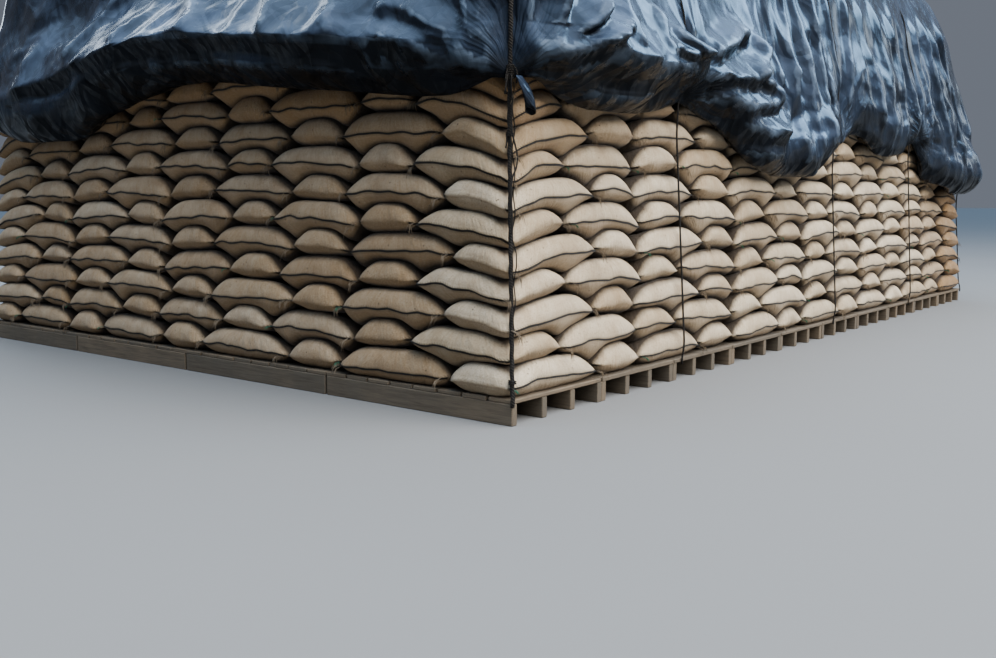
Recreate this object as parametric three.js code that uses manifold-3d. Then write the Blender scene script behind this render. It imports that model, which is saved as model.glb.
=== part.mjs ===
// A long stack of filled jute grain sacks on wooden dunnage crates, under a roped black polythene cover.
// Units are millimetres. +Z is up, +X runs along the long face, and the origin is the centre of the base.
import * as THREE from 'three';
import { mergeVertices } from 'three/addons/utils/BufferGeometryUtils.js';
import Module from 'manifold-3d';

const wasm = await Module();
wasm.setup();

// Dunnage crates: four bearers under a boarded deck, 3 ft by 5 ft, laid ten along and four across.
const CRATE_WIDTH = 914;
const CRATE_DEPTH = 1524;
const CRATE_GAP = 5;
const CRATES_ALONG = 10;
const CRATES_ACROSS = 4;
const BEARER_COUNT = 4;
const BEARER_WIDTH = 48;
const BEARER_HEIGHT = 105;
const DECK_THICKNESS = 45;
const DECK_TOP = BEARER_HEIGHT + DECK_THICKNESS;

// Sacks: laid in layers as in Flemish bond, a long side and then an end, with the next layer the other way.
const SACK_LENGTH = 865;
const SACK_WIDTH = 540;
const LAYER_HEIGHT = 180;
const SHOWN_LAYERS = 11;
const ALL_LAYERS = 22;
const CROWN_HEIGHT = 95;
const SACKS_ON_LONG_FACE = 13;
const SACKS_ON_SHORT_FACE = 9;
const SACK_OVERHANG = 15;
const BATTER = 12;
const EDGE_PULL_IN = 48;
const SHOULDER = 85;
const NOTCH_DEPTH = 75;
const CORNER_REACH = 115;

// Half sizes of the lowest layer, at the crown of its sacks.
const HALF_LENGTH = (CRATES_ALONG * (CRATE_WIDTH + CRATE_GAP) - CRATE_GAP) / 2 + SACK_OVERHANG;
const HALF_WIDTH = (CRATES_ACROSS * (CRATE_DEPTH + CRATE_GAP) - CRATE_GAP) / 2 + SACK_OVERHANG;

// Cover: a sheet that lies on the domed top, and hangs down the walls in bags gathered at the ropes.
const SHEET_THICKNESS = 6;
const SHEET_REST = 0.4;
const SHEET_PLANE = 90;
const SHEET_CORNER = 95;
const HEM_CLEARANCE = 16;
const BAG_HEIGHT = 280;
const UPPER_STAND_OFF = 25;
const STACK_TOP = DECK_TOP + ALL_LAYERS * LAYER_HEIGHT;

// The domed top, from the eaves up: height, drawn in along X, drawn in along Y, corner radius.
const DOME = [
  [2750, 144, 144, 220],
  [3150, 205, 220, 290],
  [3600, 380, 440, 400],
  [3850, 690, 930, 500],
  [4030, 1010, 1600, 540],
  [STACK_TOP, 1280, 2330, 460],
];

// The hem on each wall: distance from the wall's first corner, height in layers, stand-off of the bag above it.
const HEM_FRONT = [
  [500, 9.2, 110],
  [1000, 9.1, 170],
  [1500, 9.3, 130],
  [1950, 9.8, 32],
  [2500, 8.9, 150],
  [3000, 7.6, 210],
  [3500, 7.2, 230],
  [4000, 7.3, 220],
  [4450, 8.0, 150],
  [4850, 8.7, 32],
  [5300, 9.5, 90],
  [5900, 8.5, 150],
  [6450, 8.7, 140],
  [7100, 9.6, 32],
  [7550, 7.6, 160],
  [8000, 7.0, 210],
  [8500, 6.5, 250],
];
const HEM_FAR = [
  [700, 7.6, 220],
  [1500, 8.9, 120],
  [2300, 8.2, 190],
  [3050, 9.0, 120],
  [3800, 8.2, 190],
  [4600, 8.9, 120],
  [5400, 7.6, 220],
];
const HEM_BACK = [
  [600, 6.9, 240],
  [1300, 8.0, 170],
  [2115, 9.6, 32],
  [2800, 8.5, 170],
  [3600, 8.4, 170],
  [4365, 8.7, 32],
  [5300, 7.6, 210],
  [6300, 7.8, 200],
  [7265, 9.8, 32],
  [8000, 9.1, 150],
  [8600, 9.2, 120],
];
const HEM_NEAR = [
  [600, 9.0, 180],
  [1500, 8.8, 230],
  [2400, 10.0, 250],
  [3300, 10.7, 270],
  [4200, 10.2, 270],
  [5100, 9.7, 250],
  [5700, 9.4, 150],
];
// The hem at the four corners, from the near front one anticlockwise, seen from above.
const HEM_CORNERS = [
  [9.8, 32],
  [6.6, 270],
  [6.6, 270],
  [9.8, 32],
];

// Ropes: three lashings across the stack and one down each corner.
const ROPE_RADIUS = 7;
const BUNDLE_RADIUS = 14;
const ROPE_SIDES = 8;
const ROPE_CLEARANCE = 2;
const ROPE_REST = 0.4;
const ROPE_END_HEIGHT = 112;
// A corner rope meets its lashing square on, after a straight run, this share of the way out from the ridge.
const KNOT_RUN = 70;
const KNOT_SHARE = 0.6;
// Each lashing's hem mark on the front wall and on the back one, which is at the same X.
const LASHING_MARKS = [
  [1950, 7265],
  [4850, 4365],
  [7100, 2115],
];
// The loose tail at the near corner: along the front wall, out from the corner, height. It starts at the knot.
const TAIL_RADIUS = 5;
const TAIL_ROUTE = [
  [0, 37.8, 1905],
  [6, 35.4, 1870],
  [12, 32, 1810],
  [12, 30, 1740],
  [8, 28, 1670],
  [14, 28, 1610],
  [34, 30, 1560],
  [54, 34, 1510],
  [58, 36, 1460],
  [42, 34, 1415],
  [18, 30, 1385],
  [2, 28, 1340],
  [-4, 28, 1280],
  [0, 28, 1210],
  [6, 30, 1140],
  [4, 32, 1070],
];

const JUTE = new THREE.MeshStandardMaterial({ color: 0xcbb898, roughness: 0.95, metalness: 0 });
const WOOD = new THREE.MeshStandardMaterial({ color: 0x9c8f7c, roughness: 0.85, metalness: 0 });
const POLYTHENE = new THREE.MeshStandardMaterial({ color: 0x1b2126, roughness: 0.35, metalness: 0 });
const ROPE = new THREE.MeshStandardMaterial({ color: 0x23211f, roughness: 0.9, metalness: 0 });

const stack = new THREE.Group();

function addPiece(name, geometry, material) {
  const mesh = new THREE.Mesh(geometry, material);
  mesh.name = name;
  stack.add(mesh);
  return mesh;
}

function toSolid(geometry) {
  const bare = geometry.clone();
  bare.deleteAttribute('normal');
  bare.deleteAttribute('uv');
  const merged = mergeVertices(bare, 1e-3);
  return new wasm.Manifold(new wasm.Mesh({
    numProp: 3,
    vertProperties: new Float32Array(merged.attributes.position.array),
    triVerts: new Uint32Array(merged.index.array),
  }));
}

function toGeometry(solid) {
  const mesh = solid.getMesh();
  return meshGeometry(Array.from(mesh.vertProperties), Array.from(mesh.triVerts));
}

function meshGeometry(coordinates, triangles) {
  const geometry = new THREE.BufferGeometry();
  geometry.setAttribute('position', new THREE.Float32BufferAttribute(coordinates, 3));
  geometry.setIndex(triangles);
  return geometry;
}

// A closed solid from rings of equal length, listed from one end to the other, with a cap on each end.
function loftRings(rings, lowCap, highCap) {
  const count = rings[0].length;
  const coordinates = rings.flat(2);
  const triangles = [];
  for (let r = 0; r + 1 < rings.length; r += 1) {
    for (let i = 0; i < count; i += 1) {
      const a = r * count + i;
      const b = r * count + (i + 1) % count;
      triangles.push(a, b, b + count, a, b + count, a + count);
    }
  }
  const last = (rings.length - 1) * count;
  for (const [a, b, c] of lowCap) triangles.push(a, c, b);
  for (const [a, b, c] of highCap) triangles.push(last + a, last + b, last + c);
  return meshGeometry(coordinates, triangles);
}

// Triangles that fill a ring, anticlockwise seen from above.
function capOf(ring) {
  return THREE.ShapeUtils.triangulateShape(ring.map(([x, y]) => new THREE.Vector2(x, y)), []);
}

// Dunnage crates
function crateSolid() {
  const overlap = 10;
  const deck = new THREE.BoxGeometry(CRATE_WIDTH, CRATE_DEPTH, DECK_THICKNESS);
  deck.translate(0, 0, BEARER_HEIGHT + DECK_THICKNESS / 2);
  let solid = toSolid(deck);
  const pitch = (CRATE_WIDTH - BEARER_WIDTH) / (BEARER_COUNT - 1);
  for (let i = 0; i < BEARER_COUNT; i += 1) {
    const bearer = new THREE.BoxGeometry(BEARER_WIDTH, CRATE_DEPTH, BEARER_HEIGHT + overlap);
    bearer.translate((i - (BEARER_COUNT - 1) / 2) * pitch, 0, (BEARER_HEIGHT + overlap) / 2);
    solid = solid.add(toSolid(bearer));
  }
  return solid;
}

function crateX(column) {
  return (column - (CRATES_ALONG - 1) / 2) * (CRATE_WIDTH + CRATE_GAP);
}

function crateY(row) {
  return (row - (CRATES_ACROSS - 1) / 2) * (CRATE_DEPTH + CRATE_GAP);
}

const crateGeometry = toGeometry(crateSolid());
let crateNumber = 0;
for (let row = 0; row < CRATES_ACROSS; row += 1) {
  for (let column = 0; column < CRATES_ALONG; column += 1) {
    const onEdge = row === 0 || row === CRATES_ACROSS - 1 || column === 0 || column === CRATES_ALONG - 1;
    if (onEdge) {
      crateNumber += 1;
      const name = `dunnage_crate_${String(crateNumber).padStart(2, '0')}`;
      addPiece(name, crateGeometry.clone(), WOOD).position.set(crateX(column), crateY(row), 0);
    }
  }
}

// The sixteen crates that no side shows are one plain block.
const hiddenLength = (CRATES_ALONG - 2) * (CRATE_WIDTH + CRATE_GAP) - CRATE_GAP;
const hiddenWidth = (CRATES_ACROSS - 2) * (CRATE_DEPTH + CRATE_GAP) - CRATE_GAP;
const hiddenCrates = new THREE.BoxGeometry(hiddenLength, hiddenWidth, DECK_TOP);
hiddenCrates.translate(0, 0, DECK_TOP / 2);
addPiece('dunnage_core', hiddenCrates, WOOD);

// Sack layers
function sackLengths(layer, count, longFirst, seed) {
  const lengths = [];
  for (let i = 0; i < count; i += 1) {
    const base = (i % 2 === 0) === longFirst ? SACK_LENGTH : SACK_WIDTH;
    lengths.push(base * (1 + 0.05 * Math.sin(12.9 * layer + 78.2 * i + 37.7 * seed)));
  }
  return lengths;
}

// One wall of a layer as [distance along it, pull-in] pairs: a shoulder near each end of a sack, a notch between.
function wallMarks(layer, wall, wallLength) {
  const long = wall % 2 === 0;
  const longFirst = (layer % 2 === 0) === long;
  const lengths = sackLengths(layer, long ? SACKS_ON_LONG_FACE : SACKS_ON_SHORT_FACE, longFirst, wall);
  const scale = wallLength / lengths.reduce((sum, length) => sum + length, 0);
  const marks = [];
  let start = 0;
  lengths.forEach((length, i) => {
    const end = start + length * scale;
    marks.push([i === 0 ? CORNER_REACH : start + SHOULDER, 0]);
    marks.push([i === lengths.length - 1 ? wallLength - CORNER_REACH : end - SHOULDER, 0]);
    if (i < lengths.length - 1) marks.push([end, NOTCH_DEPTH]);
    start = end;
  });
  return marks;
}

// The four walls anticlockwise from the near front corner: where each starts, its direction and its outward normal.
function wallFrames(halfLength, halfWidth) {
  return [
    { start: [-halfLength, -halfWidth], along: [1, 0], out: [0, -1], length: 2 * halfLength },
    { start: [halfLength, -halfWidth], along: [0, 1], out: [1, 0], length: 2 * halfWidth },
    { start: [halfLength, halfWidth], along: [-1, 0], out: [0, 1], length: 2 * halfLength },
    { start: [-halfLength, halfWidth], along: [0, -1], out: [-1, 0], length: 2 * halfWidth },
  ];
}

function crownInset(layer) {
  return BATTER * layer;
}

// How far the rounded corner of a layer stands in from the square corner, along each side.
const CORNER_CUT = CORNER_REACH * 0.3;

function layerRing(layer, z, pullIn) {
  const inset = crownInset(layer);
  const ring = [];
  wallFrames(HALF_LENGTH - inset, HALF_WIDTH - inset).forEach((frame, wall, frames) => {
    const before = frames[(wall + 3) % 4].out;
    const cut = CORNER_CUT + pullIn;
    ring.push([0, 1].map((k) => frame.start[k] - (frame.out[k] + before[k]) * cut).concat(z));
    for (const [distance, notch] of wallMarks(layer, wall, frame.length)) {
      const depth = Math.max(notch, 0) + (notch > 0 ? pullIn / 3 : pullIn);
      ring.push([0, 1].map((k) => frame.start[k] + frame.along[k] * distance - frame.out[k] * depth).concat(z));
    }
  });
  return ring;
}

for (let layer = 0; layer < SHOWN_LAYERS; layer += 1) {
  const low = DECK_TOP + layer * LAYER_HEIGHT;
  const rings = [
    layerRing(layer, low, EDGE_PULL_IN),
    layerRing(layer, low + CROWN_HEIGHT, 0),
    layerRing(layer, low + LAYER_HEIGHT, EDGE_PULL_IN),
  ];
  const cap = capOf(rings[0]);
  addPiece(`sacks_layer_${String(layer + 1).padStart(2, '0')}`, loftRings(rings, cap, cap), JUTE);
}

// Columns of the cover and of the sacks under it: every hem mark of the four walls, and three marks at each corner.
const STRAIGHT_RUN = 2760;

function coverColumns() {
  const walls = [HEM_FRONT, HEM_FAR, HEM_BACK, HEM_NEAR];
  const columns = [];
  walls.forEach((marks, wall) => {
    const [cornerHem, cornerBag] = HEM_CORNERS[wall];
    columns.push({ wall, corner: 0.5, hem: cornerHem, bag: cornerBag });
    columns.push({ wall, corner: 1, hem: cornerHem, bag: cornerBag });
    for (const [distance, hem, bag] of marks) columns.push({ wall, distance, hem, bag });
    const [nextHem, nextBag] = HEM_CORNERS[(wall + 1) % 4];
    columns.push({ wall, corner: 2, hem: nextHem, bag: nextBag });
  });
  return columns;
}

const COLUMNS = coverColumns();

// Keeps a mark near the middle of a long wall at its own X, and spreads the rest over what is left of the wall.
function drawnIn(offset, fullRun, run, fixedRun) {
  const size = Math.abs(offset);
  if (size <= fixedRun) return offset;
  return Math.sign(offset) * (fixedRun + (size - fixedRun) * (run - fixedRun) / (fullRun - fixedRun));
}

// A column's place on a rounded rectangle, and its outward direction.
function columnPlace(column, insetX, insetY, radius) {
  const a = HALF_LENGTH - insetX;
  const b = HALF_WIDTH - insetY;
  const frame = wallFrames(a, b)[column.wall];
  if (column.corner === 0.5) {
    const before = wallFrames(a, b)[(column.wall + 3) % 4].out;
    const out = [0, 1].map((k) => (frame.out[k] + before[k]) * Math.SQRT1_2);
    const centre = [0, 1].map((k) => frame.start[k] - (frame.out[k] + before[k]) * radius);
    return { at: [0, 1].map((k) => centre[k] + out[k] * radius), out };
  }
  const full = wallFrames(HALF_LENGTH, HALF_WIDTH)[column.wall].length / 2;
  const fullRun = full - SHEET_CORNER;
  const run = frame.length / 2 - radius;
  let offset = run;
  if (column.corner === 1) offset = -run;
  if (column.distance !== undefined) {
    const fixedRun = column.wall % 2 === 0 ? STRAIGHT_RUN : 0;
    offset = drawnIn(column.distance - full, fullRun, run, fixedRun);
  }
  const along = frame.length / 2 + offset;
  return { at: [0, 1].map((k) => frame.start[k] + frame.along[k] * along), out: frame.out };
}

function domeRing(level, grow) {
  const [z, insetX, insetY, radius] = level;
  return COLUMNS.map((column) => [...columnPlace(column, insetX - grow, insetY - grow, radius + grow).at, z + grow]);
}

// The sacks that the cover hides are one plain domed solid.
const coreLow = DECK_TOP + SHOWN_LAYERS * LAYER_HEIGHT;
const eaves = DOME[0];
const coreRings = [domeRing([coreLow, ...eaves.slice(1)], 0), ...DOME.map((level) => domeRing(level, 0))];
addPiece('sacks_top_core', loftRings(coreRings, capOf(coreRings[0]), capOf(coreRings.at(-1))), JUTE);

// The cover's wall rows at one column, from the hem up: height and stand-off from the cover's plane.
function wallRows(column) {
  const hem = DECK_TOP + column.hem * LAYER_HEIGHT;
  const bag = hem + BAG_HEIGHT;
  return [
    [hem, SHEET_PLANE - crownInset(Math.floor(column.hem)) + HEM_CLEARANCE],
    [bag, column.bag],
    [(bag + eaves[0]) / 2, UPPER_STAND_OFF + column.bag * 0.3],
  ];
}

function wallPoint(column, row, shift) {
  const [z, standOff] = wallRows(column)[row];
  const place = columnPlace(column, SHEET_PLANE, SHEET_PLANE, SHEET_CORNER);
  return [0, 1].map((k) => place.at[k] + place.out[k] * (standOff + shift)).concat(z);
}

const outerRings = [0, 1, 2].map((row) => COLUMNS.map((column) => wallPoint(column, row, 0)));
const innerRings = [0, 1, 2].map((row) => COLUMNS.map((column) => wallPoint(column, row, -SHEET_THICKNESS)));
for (const level of DOME) {
  outerRings.push(domeRing(level, SHEET_REST + SHEET_THICKNESS));
  innerRings.push(domeRing(level, SHEET_REST));
}

// The cover runs from the middle of its inner face down to the hem, round it, and up its outer face.
const coverRings = [...innerRings.reverse(), ...outerRings];
const coverCap = capOf(coverRings[0]);
addPiece('cover_sheet', loftRings(coverRings, coverCap, coverCap), POLYTHENE);

// A path through given points, with a section at each of them.
class RopeRoute extends THREE.Curve {
  constructor(points) {
    super();
    this.points = points.map((point) => new THREE.Vector3(...point));
  }

  getPointAt(u) {
    return this.points[Math.round(u * (this.points.length - 1))].clone();
  }

  getTangentAt(u) {
    const i = Math.round(u * (this.points.length - 1));
    const before = this.points[Math.max(i - 1, 0)];
    const after = this.points[Math.min(i + 1, this.points.length - 1)];
    const here = this.points[i];
    const into = here.clone().sub(before).normalize();
    const outOf = after.clone().sub(here).normalize();
    return into.add(outOf).normalize();
  }
}

function ropeGeometry(points, radius) {
  const section = new THREE.Shape();
  for (let i = 0; i < ROPE_SIDES; i += 1) {
    const angle = (i + 0.5) / ROPE_SIDES * 2 * Math.PI;
    const corner = [radius * Math.cos(angle), radius * Math.sin(angle)];
    if (i === 0) section.moveTo(...corner);
    else section.lineTo(...corner);
  }
  section.closePath();
  const route = new RopeRoute(points);
  return new THREE.ExtrudeGeometry(section, { steps: points.length - 1, extrudePath: route });
}

// A rope's points up one wall at a column: from the crate, past the sacks' crowns, over the cover to the top.
function ropeUpWall(column, radius) {
  const away = radius + ROPE_CLEARANCE;
  const points = [];
  const crown = (inset) => {
    const square = columnPlace(column, inset, inset, column.corner === 0.5 ? 0 : SHEET_CORNER);
    const cut = column.corner === 0.5 ? CORNER_CUT * Math.SQRT2 : 0;
    return [0, 1].map((k) => square.at[k] + square.out[k] * (radius + ROPE_REST - cut));
  };
  const crate = columnPlace(column, SACK_OVERHANG, SACK_OVERHANG, column.corner === 0.5 ? 0 : SHEET_CORNER);
  const onCrate = [0, 1].map((k) => crate.at[k] + crate.out[k] * (radius + ROPE_REST));
  const lowest = DECK_TOP + CROWN_HEIGHT;
  const top = Math.floor(column.hem) - 1;
  points.push([...onCrate, ROPE_END_HEIGHT]);
  points.push([...onCrate, DECK_TOP + radius]);
  points.push([...crown(0), lowest]);
  points.push([...crown(crownInset(top)), lowest + top * LAYER_HEIGHT]);
  for (const row of [0, 1, 2]) points.push(wallPoint(column, row, away));
  for (const level of DOME) {
    const ring = columnPlace(column, level[1], level[2], level[3]);
    const grow = SHEET_REST + SHEET_THICKNESS + away;
    points.push([...[0, 1].map((k) => ring.at[k] + ring.out[k] * grow), level[0] + grow]);
  }
  return points;
}

const columnAt = (wall, distance) => COLUMNS.find((c) => c.wall === wall && c.distance === distance);

LASHING_MARKS.forEach(([front, back], i) => {
  const up = ropeUpWall(columnAt(0, front), ROPE_RADIUS);
  const down = ropeUpWall(columnAt(2, back), ROPE_RADIUS).reverse();
  addPiece(`lashing_${i + 1}`, ropeGeometry([...up, ...down], ROPE_RADIUS), ROPE);
});

const cornerNames = ['near_front', 'far_front', 'far_back', 'near_back'];
cornerNames.forEach((name, wall) => {
  const radius = wall === 0 ? BUNDLE_RADIUS : ROPE_RADIUS;
  const corner = COLUMNS.find((c) => c.wall === wall && c.corner === 0.5);
  const points = ropeUpWall(corner, radius);
  const lashing = LASHING_MARKS[wall === 0 || wall === 3 ? 0 : 2][0] - HALF_LENGTH;
  const last = points.at(-1);
  const side = Math.sign(last[0] - lashing);
  points.push([lashing + side * KNOT_RUN, last[1] * KNOT_SHARE, last[2]]);
  points.push([lashing + side * (ROPE_RADIUS + ROPE_REST), last[1] * KNOT_SHARE, last[2]]);
  addPiece(`corner_rope_${name}`, ropeGeometry(points, radius), ROPE);
});

// The loose tail hangs from the knot at the near front corner, in front of the rope there.
const tailPoints = TAIL_ROUTE.map(([along, out, z]) => {
  const inset = (z - DECK_TOP - CROWN_HEIGHT) / LAYER_HEIGHT * BATTER;
  const reach = (2 * BUNDLE_RADIUS + TAIL_RADIUS + out) * Math.SQRT1_2 - CORNER_CUT - inset;
  return [-HALF_LENGTH - reach + along, -HALF_WIDTH - reach, z];
});
addPiece('corner_rope_tail', ropeGeometry(tailPoints, TAIL_RADIUS), ROPE);

export default stack;
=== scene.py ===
"""A long stack of filled jute sacks on wooden dunnage crates, under a roped black polythene cover.

Everything is in metres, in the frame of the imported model: +X runs along the long face, +Z is up, and the
origin is the centre of the base. The walls are numbered anticlockwise from the front one, and a wall's
distance starts at its first corner.
"""

import logging
import math
from dataclasses import dataclass, field, fields
from enum import Enum

import bpy
import numpy as np
from mathutils import Euler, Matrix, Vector

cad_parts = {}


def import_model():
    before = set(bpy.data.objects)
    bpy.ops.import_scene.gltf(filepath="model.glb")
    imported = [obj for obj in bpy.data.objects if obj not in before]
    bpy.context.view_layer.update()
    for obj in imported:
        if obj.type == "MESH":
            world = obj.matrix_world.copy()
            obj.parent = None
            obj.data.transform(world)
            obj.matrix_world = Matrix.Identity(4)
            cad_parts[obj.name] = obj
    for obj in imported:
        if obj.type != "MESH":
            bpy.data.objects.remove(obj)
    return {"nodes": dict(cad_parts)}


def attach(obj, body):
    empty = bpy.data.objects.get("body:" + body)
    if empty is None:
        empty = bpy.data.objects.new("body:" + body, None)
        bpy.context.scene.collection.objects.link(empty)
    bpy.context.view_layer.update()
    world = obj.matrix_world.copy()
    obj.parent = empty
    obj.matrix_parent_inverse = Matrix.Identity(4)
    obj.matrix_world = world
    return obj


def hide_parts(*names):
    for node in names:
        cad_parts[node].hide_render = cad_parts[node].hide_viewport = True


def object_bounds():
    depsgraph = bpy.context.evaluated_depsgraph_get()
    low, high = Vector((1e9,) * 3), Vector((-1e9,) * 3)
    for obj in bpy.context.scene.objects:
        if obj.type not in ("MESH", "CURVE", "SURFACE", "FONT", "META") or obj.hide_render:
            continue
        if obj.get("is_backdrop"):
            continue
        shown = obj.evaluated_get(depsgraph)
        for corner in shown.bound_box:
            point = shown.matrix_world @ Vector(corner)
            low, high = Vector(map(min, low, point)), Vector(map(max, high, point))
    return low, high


LOG = logging.getLogger("sack_stack")
CLOTH_LAYER = "Cloth"
WAVES = 14
LATTICE = 61
Array = np.ndarray
TopLines = list[tuple[Array, Array]]


@dataclass(frozen=True)
class StackSizes:
    """Driving sizes of the stack, the same as in the model's source."""

    half_length: float = 4.6075
    half_width: float = 3.0705
    deck_top: float = 0.150
    layer_height: float = 0.180
    shown_layers: int = 11
    crown_height: float = 0.095
    sack_length: float = 0.865
    sack_width: float = 0.540
    on_long_face: int = 13
    on_short_face: int = 9
    overhang: float = 0.015
    batter: float = 0.012
    corner_reach: float = 0.115

    @property
    def corner_cut(self) -> float:
        """How far a layer's rounded corner stands in from the square one, along each side."""
        return 0.3 * self.corner_reach


SIZES = StackSizes()


def layer_top(layers: float) -> float:
    """Height of a number of layers, from the ground."""
    return SIZES.deck_top + SIZES.layer_height * layers


class Side(Enum):
    """The four walls, anticlockwise from the near front corner."""

    FRONT = 0
    FAR = 1
    BACK = 2
    NEAR = 3


@dataclass(frozen=True)
class Wall:
    """One wall of a rectangle: its first corner, the way along it, the way out of it, and its length."""

    start: Array
    along: Array
    out: Array
    length: float


def walls_of(half_length: float, half_width: float) -> list[Wall]:
    """The four walls of a rectangle round the origin.

    Args:
        half_length: Half the size along X.
        half_width: Half the size along Y.

    Returns:
        The walls in the order of Side.
    """
    a, b = half_length, half_width
    corners = np.array([(-a, -b), (a, -b), (a, b), (-a, b)])
    ways = np.array([(1.0, 0.0), (0.0, 1.0), (-1.0, 0.0), (0.0, -1.0)])
    outs = np.array([(0.0, -1.0), (1.0, 0.0), (0.0, 1.0), (-1.0, 0.0)])
    lengths = (2 * a, 2 * b, 2 * a, 2 * b)
    return [Wall(corners[i], ways[i], outs[i], lengths[i]) for i in range(4)]


def ripple(points: Array, wavelength: float, seed: int) -> Array:
    """Smooth noise from -1 to 1: the mean of sine waves that run in random directions.

    Args:
        points: Places, with the coordinates on the last axis.
        wavelength: Mean length of a wave, in the units of the points.
        seed: Number that picks the waves.

    Returns:
        One value for each place.
    """
    rng = np.random.default_rng(seed)
    ways = rng.normal(size=(WAVES, points.shape[-1]))
    ways /= np.linalg.norm(ways, axis=1, keepdims=True)
    lengths = wavelength * rng.uniform(0.65, 1.6, WAVES)
    phases = rng.uniform(0, 2 * math.pi, WAVES)
    total = np.zeros(points.shape[:-1])
    for way, length, phase in zip(ways, lengths, phases):
        total += np.sin(points @ way * (2 * math.pi / length) + phase)
    return np.clip(total / math.sqrt(WAVES) * 0.8, -1, 1)


def facets(place: Array, size: float, seed: int) -> Array:
    """Crumpled noise from -1 to 1: flat triangles between random heights on a lattice of triangles.

    Args:
        place: Places on a flat, as pairs of numbers on the last axis.
        size: Side of a triangle.
        seed: Number that picks the heights.

    Returns:
        One value for each place.
    """
    heights = np.random.default_rng(seed).uniform(-1, 1, (LATTICE, LATTICE))
    across, up = place[..., 0] / size, place[..., 1] / size
    u, v = across - up / math.sqrt(3), 2 * up / math.sqrt(3)
    i, j = np.floor(u).astype(int), np.floor(v).astype(int)
    a, b = u - i, v - j
    i, j = i % LATTICE, j % LATTICE
    right, above = (i + 1) % LATTICE, (j + 1) % LATTICE
    first = heights[i, j] * (1 - a - b) + heights[right, j] * a + heights[i, above] * b
    second = heights[right, above] * (a + b - 1) + heights[i, above] * (1 - a) + heights[right, j] * (1 - b)
    return np.where(a + b > 1, second, first)


def smooth_step(low: float, high: float, value: Array) -> Array:
    """From 0 at low to 1 at high, level at both ends."""
    t = np.clip((value - low) / (high - low), 0, 1)
    return t * t * (3 - 2 * t)


def run_along(path: Array) -> Array:
    """Distance from a path's start to each of its points."""
    return np.concatenate([[0], np.cumsum(np.linalg.norm(np.diff(path, axis=0), axis=1))])


def blurred(values: Array, share: float, upward: bool = False) -> Array:
    """Values of a grid, each mixed with both its neighbours.

    Args:
        values: Values by column and row. The columns close round.
        share: Share of each neighbour.
        upward: Whether the neighbours are those of the column, and not those of the row.

    Returns:
        The mixed values.
    """
    if upward:
        padded = np.pad(values, ((0, 0), (1, 1)), mode="edge")
        both = padded[:, :-2] + padded[:, 2:]
    else:
        both = np.roll(values, 1, axis=0) + np.roll(values, -1, axis=0)
    return (1 - 2 * share) * values + share * both


def grid_quads(rows: int, columns: int, flip: bool = False) -> Array:
    """Faces of a grid of points numbered row by row, whose last column joins the first.

    Args:
        rows: Number of rows.
        columns: Number of points in a row.
        flip: Whether the faces are wound the other way.

    Returns:
        An array of four point numbers for each face.
    """
    number = np.arange(rows * columns).reshape(rows, columns)
    right = np.roll(number, -1, axis=1)
    quads = np.stack([number[:-1], right[:-1], right[1:], number[1:]], axis=-1).reshape(-1, 4)
    return quads[:, ::-1] if flip else quads


def beside(values: Array) -> Array:
    """Difference of the two neighbours of each column of a grid that closes round."""
    return np.roll(values, -1, axis=0) - np.roll(values, 1, axis=0)


def creased(quads: Array, height: Array) -> Array:
    """Triangles of a folded grid: each face is cut along the diagonal whose ends differ least in height.

    Args:
        quads: Faces with four corners, as point numbers.
        height: Height of every point, by its number.

    Returns:
        Two triangles for each face.
    """
    tall = height[quads]
    other = np.abs(tall[:, 1] - tall[:, 3]) < np.abs(tall[:, 0] - tall[:, 2])
    cut = np.where(other[:, None], np.roll(quads, -1, axis=1), quads)
    return np.concatenate([cut[:, [0, 1, 2]], cut[:, [0, 2, 3]]])


def fan_triangles(ring: Array, pole: int, flip: bool) -> Array:
    """Faces from a ring of point numbers to one pole."""
    corners = (ring, np.roll(ring, -1), np.full_like(ring, pole))
    return np.stack([corners[k] for k in ((0, 2, 1) if flip else (0, 1, 2))], axis=-1)


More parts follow.
